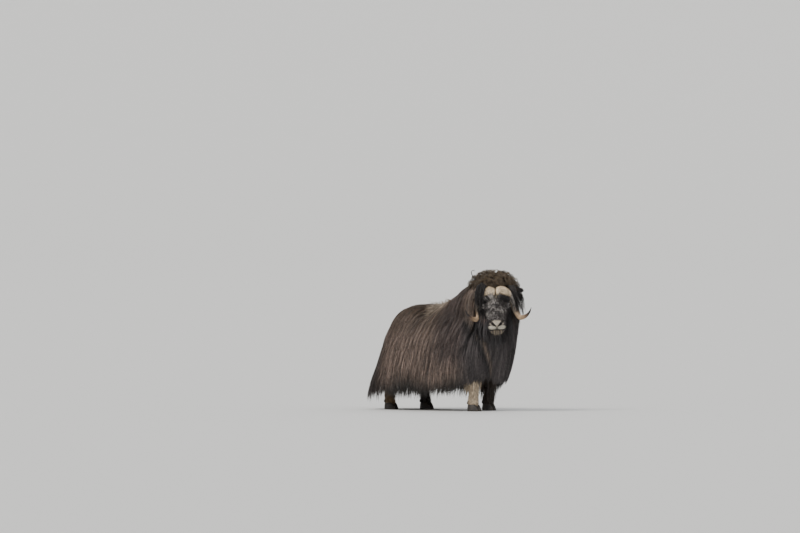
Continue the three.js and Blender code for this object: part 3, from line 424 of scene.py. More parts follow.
# The head has its own frame: u runs from the poll to the nose, v to its left and w out of the brow.
head = {
    "poll": (0.735, -0.043, 1.208),
    "turn": -46,
    "pitch": 45,
    "roll": 3.5,
    "skull": [  # u, half width, top, jaw
        (-0.075, 0.080, 0.055, -0.090), (-0.030, 0.124, 0.088, -0.148), (0.060, 0.140, 0.100, -0.165),
        (0.140, 0.146, 0.094, -0.163), (0.190, 0.140, 0.084, -0.158), (0.240, 0.122, 0.074, -0.150),
        (0.300, 0.106, 0.066, -0.140), (0.361, 0.097, 0.061, -0.130), (0.415, 0.098, 0.059, -0.124),
        (0.455, 0.099, 0.054, -0.116), (0.480, 0.091, 0.042, -0.100), (0.495, 0.070, 0.022, -0.072),
    ],
    "forms": {  # u, v, w and half sizes of rounded forms on the skull, on both sides where v isn't 0
        "socket": (0.192, 0.113, 0.030, 0.046, 0.034, 0.036),
        "cheek": (0.466, 0.050, 0.000, 0.043, 0.053, 0.029),
        "nose": (0.466, 0, 0.034, 0.033, 0.066, 0.027),
        "chin": (0.446, 0, -0.080, 0.052, 0.072, 0.044),
    },
    "fur": 0.007,  # depth of the short fur of the face
    "eye": {"at": (0.196, 0.131, 0.030), "radius": 0.0208, "axis": (0.38, 0.66, 0.65), "corners": (0.93, 0, 0.36)},
    "voxel": 0.004,
}
headPlace = (
    Matrix.Translation(head["poll"])
    @ Matrix.Rotation(math.radians(head["turn"]), 4, "Z")
    @ Matrix.Rotation(math.radians(head["pitch"]), 4, "Y")
    @ Matrix.Rotation(math.radians(head["roll"]), 4, "X")
)
headTurn = np.array(headPlace.to_3x3())
mop = {
    "at": (0.676, -0.003, 1.272),
    "size": (0.190, 0.272, 0.188),
    "depth": 0.042,  # of the curls
    "spacing": 0.0195,
    "perWisp": 10,
    "radius": 0.016,  # of a wisp
    "length": 0.135,
    "reach": 1.0,  # outer face of the curls, as a share of the size
    "curl": 0.010,
    "width": 0.0038,
    "clump": 0.1,
    "wave": 0.004,
    "stations": 8,
}


def inHead(places):
    # places in the head's own frame
    return (places - np.array(head["poll"])) @ headTurn


def fromHead(places):
    return np.asarray(places) @ headTurn.T + np.array(head["poll"])


def headTubes():
    fur = head["fur"]
    skull = [(0, (top + jaw) / 2, u, half - fur, (top - jaw) / 2 - fur) for u, half, top, jaw in head["skull"]]
    pieces = [tube("skull", skull, sides=32, place=headPlace @ alongX)]
    for name, (u, v, w, *sizes) in head["forms"].items():
        for side in (1, -1) if v else (1,):
            pieces.append(ball(name, (u, side * v, w), [size - fur for size in sizes], place=headPlace))
    crown = [length - mop["depth"] for length in mop["size"]]
    pieces.append(ball("crown", mop["at"], crown, (0, 0, math.radians(head["turn"]))))
    return pieces


# Horns: a boss of coarse fibres on the brow, then a smooth hook down, out and up.
horns = {
    "stations": [  # u, v, w, half width, half thickness
        (0.072, 0.004, 0.111, 0.034, 0.014), (0.072, 0.022, 0.114, 0.055, 0.027),
        (0.070, 0.070, 0.117, 0.059, 0.032), (0.084, 0.130, 0.088, 0.047, 0.033),
        (0.110, 0.166, 0.026, 0.036, 0.033), (0.146, 0.182, -0.036, 0.032, 0.031),
        (0.186, 0.194, -0.084, 0.030, 0.029), (0.232, 0.214, -0.112, 0.027, 0.027),
        (0.268, 0.250, -0.082, 0.023, 0.023), (0.284, 0.292, -0.036, 0.016, 0.016),
        (0.282, 0.322, 0.012, 0.009, 0.009), (0.270, 0.340, 0.062, 0.0015, 0.0015),
    ],
    "thinnest": 0.0012,
    "hookShift": {"from": 0.126, "to": 0.232, "left": 0.022},  # both hooks stand off to the animal's left
    "rings": 64,
    "sides": 40,
    "fibre": 0.00192,  # height of the boss's fibres
    "shades": [  # share of the length, colour
        # the darker first row paints shade into the groove between the two bosses
        (0.0, 112, 92, 70), (0.035, 196, 176, 148), (0.08, 206, 188, 160), (0.14, 194, 172, 142),
        (0.25, 184, 164, 136), (0.34, 158, 142, 124), (0.5, 140, 124, 108), (0.6, 196, 168, 138),
        (0.7, 206, 176, 142), (0.8, 124, 100, 80), (0.87, 52, 44, 42), (1.0, 36, 31, 31),
    ],
}
hornStations = curveThrough(horns["stations"], horns["rings"])
hornLine, hornSizes = hornStations[:, :3], hornStations[:, 3:].clip(horns["thinnest"])


def hornPath(side):
    off = horns["hookShift"]
    moved = hornLine * (1, side, 1)
    moved[:, 1] += off["left"] * smoothStep(off["from"], off["to"], hornLine[:, 0])
    return moved


# The skin lies inside the long coat by its depth, and one piece carries neck, head and legs with it.
skin = {
    "depth": 0.062,  # of the long coat
    "voxel": 0.014,
    "sections": {  # z and half sizes of the legs, from the top
        "front": [
            (0.56, 0.086, 0.078), (0.43, 0.07, 0.066), (0.325, 0.06, 0.058), (0.262, 0.05, 0.048),
            (0.185, 0.044, 0.043), (0.122, 0.049, 0.049), (0.092, 0.055, 0.053), (0.058, 0.052, 0.05),
        ],
        "hind": [
            (0.6, 0.15, 0.1), (0.47, 0.104, 0.078), (0.352, 0.064, 0.052), (0.282, 0.05, 0.045),
            (0.195, 0.043, 0.041), (0.122, 0.048, 0.048), (0.092, 0.053, 0.051), (0.058, 0.052, 0.049),
        ],
    },
    "legs": [  # sections of the leg, and x and y of each
        ("front", [
            (0.47, 0.15), (0.462, 0.164), (0.455, 0.178), (0.453, 0.178),
            (0.451, 0.178), (0.436, 0.178), (0.438, 0.178), (0.444, 0.178),
        ]),
        ("front", [
            (0.52, -0.15), (0.536, -0.165), (0.552, -0.18), (0.557, -0.181),
            (0.562, -0.181), (0.552, -0.182), (0.554, -0.182), (0.56, -0.182),
        ]),
        ("hind", [
            (-0.43, 0.16), (-0.456, 0.163), (-0.474, 0.166), (-0.466, 0.166),
            (-0.44, 0.167), (-0.421, 0.168), (-0.418, 0.168), (-0.411, 0.168),
        ]),
        ("hind", [
            (-0.5, -0.16), (-0.584, -0.165), (-0.648, -0.17), (-0.645, -0.17),
            (-0.626, -0.17), (-0.614, -0.17), (-0.611, -0.17), (-0.604, -0.17),
        ]),
    ],
}
legTubes = [
    tube("leg", [(x, y, *size) for (x, y), size in zip(middles, skin["sections"][pair])], sides=16)
    for pair, middles in skin["legs"]
]
barrel = joined("skin", bodyTubes(grow=-skin["depth"], coatLow=0.44, low=0.5) + legTubes + headTubes())
select(barrel)
bpy.ops.object.duplicate()
fineHead = bpy.context.object
applyModifier(fineHead, "REMESH", mode="VOXEL", voxel_size=head["voxel"])
applyModifier(fineHead, "SMOOTH", factor=0.5, iterations=5)
applyModifier(barrel, "REMESH", mode="VOXEL", voxel_size=skin["voxel"])
applyModifier(barrel, "SMOOTH", factor=0.5, iterations=6)


def selectFaces(piece, wanted):
    # leaves the piece in edit mode with the faces selected whose middles are wanted
    chosen = wanted(read(piece.data.polygons, "center"))
    select(piece)
    bpy.ops.object.mode_set(mode="EDIT")
    bpy.ops.mesh.select_mode(type="FACE")
    bpy.ops.mesh.select_all(action="DESELECT")
    bpy.ops.object.mode_set(mode="OBJECT")
    piece.data.polygons.foreach_set("select", chosen)
    bpy.ops.object.mode_set(mode="EDIT")


def onFace(places):
    u, v, w = inHead(places).T
    return (u > 0.03) & (u < 0.6) & (np.abs(v) < 0.2) & (w > -0.22) & (w < 0.2)


def onFeatures(places):
    # round the eyes, nostrils and mouth
    u, v, w = inHead(places).T
    eyes = np.hypot(u - head["eye"]["at"][0], w - head["eye"]["at"][2]) < 0.042
    return (eyes & (np.abs(v) > 0.09)) | ((u > 0.43) & (w > -0.075))


# The head's faces are made smaller and laid on the finer shape, so the skin stays one piece.
selectFaces(barrel, onFace)
bpy.ops.mesh.subdivide(number_cuts=3)
bpy.ops.object.mode_set(mode="OBJECT")
faceGroup = barrel.vertex_groups.new(name="face")
facePoints = read(barrel.data.vertices, "co")
faceShare = smoothStep(0.02, 0.07, inHead(facePoints)[:, 0])
for i in np.flatnonzero(onFace(facePoints)):
    faceGroup.add([int(i)], float(faceShare[i]), "REPLACE")
applyModifier(barrel, "SHRINKWRAP", target=fineHead, wrap_method="NEAREST_SURFACEPOINT", vertex_group="face")
bpy.data.objects.remove(fineHead)
applyModifier(barrel, "SMOOTH", factor=0.5, iterations=3, vertex_group="face")
barrel.vertex_groups.clear()
selectFaces(barrel, onFeatures)
bpy.ops.mesh.subdivide(number_cuts=1, smoothness=1.0)
bpy.ops.object.mode_set(mode="OBJECT")

features = {
    "lid": {
        "long": 0.0178,
        "high": 0.0108,
        "profile": [  # distance outside the opening, and how far the skin lies from the eye's middle
            (-0.004, 0.012), (-0.001, 0.0185), (0.0012, 0.0228), (0.0032, 0.0238), (0.0055, 0.0216),
            (0.0085, 0.0236), (0.013, 0.0245),
        ],
        "fade": (0.0165, 0.029),  # from the eye's axis
        "reach": 0.06,
        "behind": 0.045,
    },
    "nostril": {
        "line": [  # u, v, w and half width along each slit, from its outer end
            (0.443, 0.062, 0.054, 0.0125), (0.463, 0.046, 0.047, 0.0135), (0.487, 0.016, 0.031, 0.0070),
        ],
        "deep": 0.024,
        "inward": (-0.75, 0, -0.5),
        "rim": {"at": 0.0035, "half": 0.0026, "high": 0.0024},
    },
    "mouth": {
        "level": -0.509,
        "corner": 0.465,
        "deep": 0.007,
        "half": 0.0045,
        "front": (0.40, 0.43),  # u where it starts
        "middle": (0.36, 0, -0.04),  # that it is pressed towards
    },
    "cleft": {"deep": 0.0035, "half": 0.005},  # groove from the nose to the mouth
}


def almond(across, up, long, high):
    # how far outside an almond a place is, below 0 inside it
    share = np.clip(1 - (across / long) ** 2, 0, 1) ** 0.6
    return np.where(np.abs(across) < long, np.abs(up) - high * share, np.hypot(np.abs(across) - long, up))


def eyeFrame(local, side):
    # the way to each place from the eye's middle, and its parts across, up and out of the opening
    axis = unit(np.array(head["eye"]["axis"]) * (1, side, 1))
    long = unit(pressed(np.array(head["eye"]["corners"]), axis))
    gap = local - np.array(head["eye"]["at"]) * (1, side, 1)
    return gap, gap @ long, gap @ np.cross(long, axis) * side, gap @ axis


def lidDistance(local, side):
    across, up, out = eyeFrame(local, side)[1:]
    return np.where(out > 0, almond(across, up, features["lid"]["long"], features["lid"]["high"]), 1.0)


def nostrilDistance(local, side):
    # how far outside the slit of a nostril a place is, below 0 inside it
    nearest = np.full(local.shape[:-1], 1.0)
    for point in curveThrough(features["nostril"]["line"], 15):
        gap = local * (1, side, 1) - point[:3]
        ahead, down = (gap[..., 0] + gap[..., 2]) * 0.707, (gap[..., 2] - gap[..., 0]) * 0.707
        away = np.where(np.abs(ahead) < 0.035, np.hypot(gap[..., 1], down), 1.0)
        nearest = np.minimum(nearest, away - point[3])
    return nearest


def mouthLevel(u):
    # the line between the lips is level over the front of the muzzle and then follows the jaw
    return np.maximum(u, features["mouth"]["corner"]) + features["mouth"]["level"]


def pressFeatures(piece):
    local = inHead(read(piece.data.vertices, "co"))
    lid, nostril, mouth, cleft = (features[name] for name in ("lid", "nostril", "mouth", "cleft"))
    for side in (1, -1):
        gap, across, up, out = eyeFrame(local, side)
        want = follow(lid["profile"], almond(across, up, lid["long"], lid["high"]))
        far = np.hypot(across, up)
        want = np.sqrt(np.maximum(want**2 - far**2, 0))
        near = (np.linalg.norm(gap, axis=1) < lid["reach"]) & (out > -lid["behind"])
        share = np.where(near, 1 - smoothStep(*lid["fade"], far), 0)
        axis = unit(np.array(head["eye"]["axis"]) * (1, side, 1))
        local = local + axis * ((want - out) * share)[:, None]
    u, v, w = local.T
    for side in (1, -1):
        outside = nostrilDistance(local, side)
        share = (1 - smoothStep(-0.005, 0.001, outside)) * nostril["deep"]
        rim = peak(outside, nostril["rim"]["at"], nostril["rim"]["half"]) * nostril["rim"]["high"]
        local = local + np.array(nostril["inward"]) * (share - rim)[:, None]
    press = peak(w, mouthLevel(u), mouth["half"]) * mouth["deep"] * smoothStep(*mouth["front"], u)
    local = local - unit(local - np.array(mouth["middle"])) * press[:, None]
    groove = peak(v, 0, cleft["half"]) * smoothStep(0.475, 0.485, u) * smoothStep(-0.018, -0.012, w)
    local[:, 0] -= groove * (1 - smoothStep(0.028, 0.036, w)) * cleft["deep"]
    setPoints(piece, fromHead(local))


pressFeatures(barrel)
skinSurface = unwrapped(barrel, 0.002)
print("skin", len(skinSurface.triangles))

# How hairs are made, and how far they differ: from and to, or the spread of a bell curve.
strand = {
    "ridge": 0.25,  # how far a hair stands up from its width
    "patch": 0.003,  # its size on the map
    "lowest": 0.01,
    "taper": [(0, 0.7), (0.17, 1.0), (0.36, 1.0), (0.55, 0.88), (0.73, 0.66), (0.89, 0.36), (1.0, 0.1)],
    "long": {
        "shortest": (0.72, 1.0),
        "phase": 0.5,
        "waves": (4.5, 7.5),  # to the metre
        "swing": (0.4, 1.4),
        "flat": 0.45,  # depth of a wisp as a share of its width
        "width": (0.6, 1.25),
        "wispShade": 0.15,
        "shade": 0.28,
        "root": 0.7,  # shade at the root
    },
    "short": {
        "aside": 0.14,
        "rise": (0.6, 1.3),
        "turns": 5.5,  # of a curl, in radians
        "flat": 0.6,
        "sunk": 0.003,
        "width": (0.65, 1.25),
        "shade": 0.2,
        "root": 0.6,
    },
}


def tufts(name, lines, outs, widths, colours, bakeAt):
    # One mesh of tapered tufts: lines [tuft, station, 3] end in a point, and each section is a low triangle.
    count, stations = lines.shape[:2]
    rings = stations - 1
    lines = lines.copy()
    lines[..., 2] = np.maximum(lines[..., 2], strand["lowest"])
    ways = np.gradient(lines, axis=1)
    sides = unit(np.cross(ways, outs))
    outs = unit(np.cross(sides, ways))
    across = sides[:, :-1] * widths[:, :, None] / 2
    centre = lines[:, :-1]
    ridge = centre + outs[:, :-1] * widths[:, :, None] * strand["ridge"]
    ring = np.stack([centre - across, ridge, centre + across], 2).reshape(count, rings * 3, 3)
    points = np.concatenate([ring, lines[:, -1:]], 1)
    perTuft = rings * 3 + 1
    quads = [
        (r * 3 + e, r * 3 + (e + 1) % 3, r * 3 + 3 + (e + 1) % 3, r * 3 + 3 + e)
        for r in range(rings - 1)
        for e in range(3)
    ]
    last = (rings - 1) * 3
    ends = [(last + e, last + (e + 1) % 3, perTuft - 1) for e in range(3)] + [(2, 1, 0)]
    first = np.arange(count)[:, None, None] * perTuft
    corners = np.concatenate(
        [(np.array(quads)[None] + first).reshape(count, -1), (np.array(ends)[None] + first).reshape(count, -1)], 1
    ).ravel()
    sizes = np.tile([4] * len(quads) + [3] * len(ends), count)
    starts = np.concatenate([[0], np.cumsum(sizes)[:-1]])
    mesh = bpy.data.meshes.new(name)
    mesh.vertices.add(count * perTuft)
    mesh.vertices.foreach_set("co", points.reshape(-1))
    mesh.loops.add(len(corners))
    mesh.loops.foreach_set("vertex_index", corners)
    mesh.polygons.add(len(sizes))
    mesh.polygons.foreach_set("loop_start", starts)
    mesh.polygons.foreach_set("use_smooth", np.ones(len(sizes), bool))
    mesh.update(calc_edges=True)
    giveTint(mesh, np.concatenate([np.repeat(colours[:, :-1], 3, 1), colours[:, -1:]], 1).reshape(-1, 3))
    share = np.concatenate([np.repeat(np.arange(rings) / rings, 3), [1.0]])
    side = np.concatenate([np.tile([0, 0.5, 1.0], rings), [0.5]])
    spread = (np.stack([side, share], 1) - 0.5) * strand["patch"]
    uvs = (bakeAt[:, None] + spread[None]).reshape(-1, 2)[corners]
    mesh.uv_layers.new(name="OFBake").data.foreach_set("uv", np.clip(uvs, 0, 1).reshape(-1))
    piece = bpy.data.objects.new(name, mesh)
    bpy.context.scene.collection.objects.link(piece)
    return piece


def pick(surface, keep, countOf):
    # random faces on the wanted part of a surface, and the shares of their corners; the area sets how many
    a, b, c = (surface.points[surface.triangles[:, k]] for k in range(3))
    areas = np.linalg.norm(np.cross(b - a, c - a), axis=1) / 2 * keep((a + b + c) / 3)
    count = countOf(areas.sum())
    faces = dice.choice(len(areas), count, p=areas / areas.sum())
    u, v = dice.random((2, count))
    flip = u + v > 1
    u[flip], v[flip] = 1 - u[flip], 1 - v[flip]
    shares = np.stack([1 - u - v, u, v], 1)[:, :, None]
    return faces, shares, (surface.points[surface.triangles[faces]] * shares).sum(1)


def scatter(surface, spacing, keep, tries=7, closest=0.8):
    # places over a part of a surface at about this distance from each other
    places = pick(surface, keep, lambda area: int(area / spacing**2 * tries))[2]
    cells, kept = {}, []
    near = [(i, j, k) for i in (-1, 0, 1) for j in (-1, 0, 1) for k in (-1, 0, 1)]
    for place, cell in zip(places, np.floor(places / spacing).astype(int)):
        beside = [q for i, j, k in near for q in cells.get((cell[0] + i, cell[1] + j, cell[2] + k), ())]
        if not beside or ((np.array(beside) - place) ** 2).sum(1).min() > (closest * spacing) ** 2:
            cells.setdefault(tuple(cell), []).append(place)
            kept.append(place)
    return np.array(kept)


def sprinkle(surface, count, keep):
    # random places over a part of a surface, with their normals and places on the map
    faces, shares, places = pick(surface, keep, lambda area: count)
    normals = unit((surface.normals[surface.triangles[faces]] * shares).sum(1))
    return places, normals, (surface.uvs[faces] * shares).sum(1)


# The long coat. Hair grows in wisps, which leave the skin, come out to the face of the coat and hang down it.
coat = {
    "spacing": 0.040,  # between wisps
    "perWisp": 14,
    "radius": 0.030,  # of a wisp
    "steps": 12,
    "length": 0.46,
    "width": 0.0062,
    "clump": 0.45,  # how far a wisp's hairs close up at their tips
    "wave": 0.006,
    "lean": -0.12,  # towards the rump
    "lowest": 0.40,  # roots
    "clear": 0.05,  # of the horns
    "hem": [  # x, z
        (-0.93, 0.085), (-0.6, 0.105), (-0.43, 0.145), (0.0, 0.155), (0.4, 0.165), (0.52, 0.215),
        (0.64, 0.285), (0.76, 0.3),
    ],
    "saddle": {"at": (0.07, -0.03), "long": 0.17, "wide": 0.25},
    "sections": [  # pieces from the rump forwards: name, x from and to, skirt that each stands for
        ("rump", -9, -0.33, "skirt_rear"),
        ("flank", -0.33, 0.13, "skirt_flank"),
        ("shoulder", 0.13, 0.42, "skirt_shoulder"),
        ("chest", 0.42, 9, "skirt_front"),
    ],
}
shades = {
    "ridge": linear(68, 54, 42),
    "upper": linear(90, 76, 66),
    "flank": linear(122, 105, 95),
    "fringe": linear(42, 37, 33),
    "rear": linear(54, 46, 43),
    "shoulder": linear(80, 68, 64),
    "chest": linear(70, 64, 64),
    "mane": linear(62, 50, 43),
    "saddle": linear(170, 154, 136),
    "paleMane": linear(132, 116, 104),
    # gap: painted shadow along the edge of the bib
    "gap": linear(26, 24, 26),
    "mop": linear(86, 72, 55),
    "beard": linear(54, 50, 51),
}
bibAcross = (0.719, 0.695)  # x and y of the way across the bib, to the animal's left
# Bands of the coat, each laid over the last: shade, and the steps along x and z over which it comes in.
allAlong = (-9, -8)
bands = [
    ("upper", allAlong, (0.72, 0.9)),
    ("ridge", allAlong, (0.92, 1.04)),
    ("rear", (-0.45, -0.72), (1.0, 0.8)),
    ("shoulder", (0.08, 0.34), (0.35, 0.6)),
    ("mane", (0.3, 0.55), (0.85, 1.1)),
    ("chest", (0.42, 0.62), (1.05, 0.8)),
]


def mixed(first, second, share):
    return first * (1 - share[..., None]) + second * share[..., None]


def plain(shade):
    # a colour function with one shade everywhere
    return lambda places: np.broadcast_to(shade, places.shape)


def coatColour(places):
    # colour of the long coat at these places
    x, y, z = np.moveaxis(places, -1, 0)
    tone = mixed(shades["flank"], shades["fringe"], smoothStep(0.42, 0.2, z + 0.04 * np.sin(x * 9)))
    for shade, stepX, stepZ in bands:
        tone = mixed(tone, shades[shade], smoothStep(*stepX, x) * smoothStep(*stepZ, z))
    edge = bibEdge(places)
    # painted shadow: a dark band just outside the bib's edge on the animal's right, where the bib parts from the
    # shoulder
    tone = mixed(tone, shades["gap"], 0.95 * peak(edge, -1.17, 0.2) * smoothStep(0.3, 0.45, z))
    tone = mixed(tone, shades["paleMane"], 0.8 * peak(edge, -0.9, 0.1) * smoothStep(0.3, 0.5, z))
    cheek = peak(x, 0.62, 0.09) * peak(y, -0.24, 0.09) * smoothStep(0.86, 1.0, z)
    tone = mixed(tone, shades["paleMane"], 0.8 * cheek)
    tone = mixed(tone, shades["saddle"], 0.8 * saddleShare(places))
    return tone * streaks(places)[..., None]


def bibEdge(places):
    # across the hair that hangs from the throat: -1 at its edge on the animal's right, beyond 1 on the left
    x, y, z = np.moveaxis(places, -1, 0)
    level, middleX, middleY, long, wide = zip(*body["bib"])
    across = (x - np.interp(z, level, middleX)) * bibAcross[0] + (y - np.interp(z, level, middleY)) * bibAcross[1]
    return np.where((x > 0.5) & (z < 1.04), across / np.interp(z, level, wide), -9)


def streaks(places):
    # light and dark bands that follow the lie of the flank's hair, the same all the way down; the light bands are
    # partly the hair's own colour and partly painted highlights on the locks
    x, y, z = np.moveaxis(places, -1, 0)
    across = (x + coat["lean"] * z) * (1 - smoothStep(0.6, 0.75, x)) + y * smoothStep(0.6, 0.75, x)
    across = across + 0.35 * y * smoothStep(-0.5, -0.75, x)
    fine = np.sin(across * 104 + 3 * np.sin(across * 9 + z * 2) + y * 3)
    broad = np.sin(across * 23 + 1.0 + 2 * np.sin(z * 3 + across * 5))
    hair = np.sin(across * 227 + 2 * np.sin(z * 5) + 3 * np.sin(across * 31))
    return 1 + (0.2 * fine + 0.1 * broad + 0.2 * hair)


def saddleShare(places):
    (x, y), long, wide = coat["saddle"].values()
    far = np.sqrt(((places[..., 0] - x) / long) ** 2 + ((places[..., 1] - y) / wide) ** 2)
    return np.where(places[..., 2] > 0.95, 1 - smoothStep(0.5, 1.15, far), 0)


def hangingGuides(roots, lengths):
    # middle lines of wisps that run down the hull, with the outward direction at each step
    places, normals = hullSurface.nearest(roots)[:2]
    lines, outs = [], []
    steps = coat["steps"]
    topRoot = smoothStep(0.55, 0.95, normals[:, 2])
    for k in range(steps):
        share = k / (steps - 1)
        inset = skin["depth"] * (1 - share) ** (2.4 + 6 * topRoot) * (1 - 0.62 * topRoot)
        lines.append(places - normals * inset[:, None])
        outs.append(normals)
        top = np.maximum(normals[:, 2], 0) ** 1.5
        away = np.tanh(places[:, 1] / 0.04)
        rear = coat["lean"] - 0.2 * smoothStep(0.2, -0.5, places[:, 0]) * smoothStep(0.35, 0.7, places[:, 2])
        comb = np.stack([rear - 0.5 * top, 0.9 * away * top, -np.ones(len(places))], 1)
        way = unit(pressed(comb, normals))
        places, normals = hullSurface.nearest(places + way * (lengths / (steps - 1))[:, None])[:2]
    return np.stack(lines, 1), np.stack(outs, 1)


def atShare(lines, shares):
    # points of each line at its own shares of the length
    steps = lines.shape[1] - 1
    at = np.clip(shares, 0, 1) * steps
    low = np.minimum(at.astype(int), steps - 1)
    part = (at - low)[..., None]
    rows = np.arange(len(lines))[:, None]
    return lines[rows, low] * (1 - part) + lines[rows, low + 1] * part


def wisps(guides, outs, settings, colourOf):
    # hairs round each guide: their lines, outward directions, widths and colours
    vary = strand["long"]
    count, perWisp = len(guides), settings["perWisp"]
    total = count * perWisp
    who = np.repeat(np.arange(count), perWisp)
    steps = np.linspace(0, 1, settings.get("stations", 7))
    shares = steps[None] * dice.uniform(*vary["shortest"], total)[:, None]
    lines = atShare(guides[who], shares)
    out = unit(atShare(outs[who], shares))
    way = unit(np.gradient(lines, axis=1))
    side = unit(np.cross(way, out))
    turn = dice.uniform(0, 2 * math.pi, total)
    far = settings["radius"] * np.sqrt(dice.random(total))
    close = 1 - settings["clump"] * steps[None] ** 1.3
    length = np.linalg.norm(np.diff(guides, axis=1), axis=2).sum(1)[who]
    phase = dice.uniform(0, 2 * math.pi, count)[who] + dice.normal(0, vary["phase"], total)
    waves = dice.uniform(*vary["waves"], count)[who]
    swing = np.sin(phase[:, None] + waves[:, None] * 2 * math.pi * shares * length[:, None])
    swing *= settings["wave"] * dice.uniform(*vary["swing"], total)[:, None] * shares**0.7
    lines = lines + side * (np.cos(turn)[:, None] * far[:, None] * close + swing)[..., None]
    lines = lines + out * (np.sin(turn)[:, None] * far[:, None] * close * vary["flat"])[..., None]
    widths = settings["width"] * dice.uniform(*vary["width"], total)[:, None]
    widths = widths * follow(strand["taper"], steps[:-1])[None]
    light = dice.lognormal(0, vary["wispShade"], count)[who] * dice.lognormal(0, vary["shade"], total)
    tone = colourOf(lines) * light[:, None, None]
    tone = tone * (vary["root"] + (1 - vary["root"]) * smoothStep(0, 0.2, steps))[None, :, None]
    return lines, out, widths, tone


def shortFur(places, normals, ways, lengths, settings, colours):
    # tufts that leave the skin at a slope and lie over along a direction
    count, stations, curl = len(places), settings.get("stations", 4), settings.get("curl")
    steps, vary = np.linspace(0, 1, stations), strand["short"]
    ways = unit(pressed(ways, normals) + dice.normal(0, vary["aside"], (count, 3)))
    rise = settings["lift"] * (steps * (1.6 - 0.8 * steps))[None, :, None]
    rise = rise * dice.uniform(*vary["rise"], (count, 1, 1))
    lines = places[:, None] + lengths[:, None, None] * (
        ways[:, None] * steps[None, :, None] ** 0.9 + normals[:, None] * rise
    )
    if curl:
        phase = dice.uniform(0, 2 * math.pi, (count, 1)) + steps[None] * vary["turns"]
        sides = unit(np.cross(ways, normals))
        lines = lines + curl * steps[None, :, None] * (
            sides[:, None] * np.cos(phase)[..., None] + normals[:, None] * np.sin(phase)[..., None] * vary["flat"]
        )
    lines[:, 0] -= normals * vary["sunk"]
    outs = np.repeat(normals[:, None], stations, 1)
    widths = settings["width"] * dice.uniform(*vary["width"], count)[:, None]
    widths = widths * follow(strand["taper"], steps[:-1])[None]
    tone = (colours * dice.lognormal(0, vary["shade"], count)[:, None])[:, None]
    tone = tone * (vary["root"] + (1 - vary["root"]) * steps)[None, :, None]
    return lines, outs, widths, tone


def fallingGuides(places, normals, lengths, settings, steps=9):
    # middle lines of wisps that leave the skin and then hang free
    lines, outs = [places], [normals]
    at = places
    for k in range(1, steps):
        share = k / (steps - 1)
        way = unit(normals * settings["out"] * (1 - share) ** 1.5 + np.array(settings["pull"]) * (0.25 + share))
        at = at + way * (lengths / (steps - 1))[:, None]
        lines.append(at)
        outs.append(unit(normals * (1 - share) + unit(pressed(normals, way)) * (share + 0.05)))
    return np.stack(lines, 1), np.stack(outs, 1)


def hangingHair(name, surface, settings, where, colourOf, trim=lambda places, lengths: lengths):
    # wisps that hang free from a part of a surface
    places, normals, bakeAt = sprinkle(surface, settings["tufts"], where)
    lengths = trim(places, settings["length"] * dice.uniform(*settings["varies"], len(places)))
    guides, outs = fallingGuides(places, normals, lengths, settings)
    return tufts(name, *wisps(guides, outs, settings, colourOf), np.repeat(bakeAt, settings["perWisp"], 0))


def settle(piece, slot, material, *nodes):
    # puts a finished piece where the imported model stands
    piece.data.transform(Matrix.Translation(shift))
    piece.data.materials.clear()
    piece.data.materials.append(material)
    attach(piece, "root")
    if nodes:
        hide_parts(*nodes)
    return piece


def hairMaterial(name, roughness, relief=0.0):
    paint = Paint(name)
    place = paint.objectPlace()
    inputs = {
        "Base Color": paint.tinted(paint.noise(place, 38.0, 4.0) * 1.1 + 0.45),
        "Roughness": roughness,
        "Specular IOR Level": 0.35,
        "Sheen Weight": 0.12,
        "Sheen Roughness": 0.4,
    }
    if relief:
        inputs["Normal"] = paint.bump(paint.noise(place, 420.0, 3.0), relief)
    return paint.finish(inputs)


longHair = hairMaterial("longHair", 0.55)
furrySkin = hairMaterial("furrySkin", 0.75, 0.003)


def coatRoots(places):
    # over back and flanks, but neither in the saddle nor behind the head on the animal's right
    x, y, z = places.T
    return (z > coat["lowest"]) & (saddleShare(places) < 0.5) & ~((x > 0.66) & (y < 0.1) & (z > 1.0))


roots = scatter(hullSurface, coat["spacing"], coatRoots)
drop = roots[:, 2] - follow(coat["hem"], roots[:, 0]) + dice.uniform(-0.03, 0.05, len(roots))
lengths = np.minimum(coat["length"] * dice.uniform(0.8, 1.15, len(roots)), drop * 1.04)
guides, guideOuts = hangingGuides(roots, lengths)
hooks = fromHead(np.concatenate([hornPath(side)[24::2] for side in (1, -1)]))
clear = np.ones(len(roots), bool)
for hook in hooks:
    clear &= np.linalg.norm(guides - hook, axis=2).min(1) > coat["clear"]
roots, guides, guideOuts = roots[clear], guides[clear], guideOuts[clear]
print("wisps of the long coat", len(roots))
for name, low, high, skirt in coat["sections"]:
    for side, sided in bothSides:
        mine = (roots[:, 0] >= low) & (roots[:, 0] < high) & ((roots[:, 1] >= 0) == (side > 0))
        hair = wisps(guides[mine], guideOuts[mine], coat, coatColour)
        piece = tufts(f"{name}_coat_{sided}", *hair, skinSurface.onMap(hair[0][:, 0]))
        settle(piece, "coat", longHair, f"{skirt}_{sided}")
        print(piece.name, len(piece.data.polygons))
bpy.data.objects.remove(hull)

# The mop: ringlets over the crown, from its middle outwards and down.
mopTurn = np.array(Matrix.Rotation(math.radians(head["turn"]), 3, "Z"))


def onCrown(places):
    local = (places - np.array(mop["at"])) @ mopTurn
    inner = np.array(mop["size"]) - mop["depth"]
    near = np.abs(np.linalg.norm(local / inner, axis=1) - 1) < 0.09
    return near & (local[:, 2] > -0.06) & (local[:, 0] > -0.13)


def mopColour(places):
    # lighter on top and darker underneath: painted light and painted shade on the mop
    tone = np.broadcast_to(shades["mop"], places.shape)
    return mixed(tone * 1.25, tone * 0.6, 1 - smoothStep(1.22, 1.42, places[..., 2]))


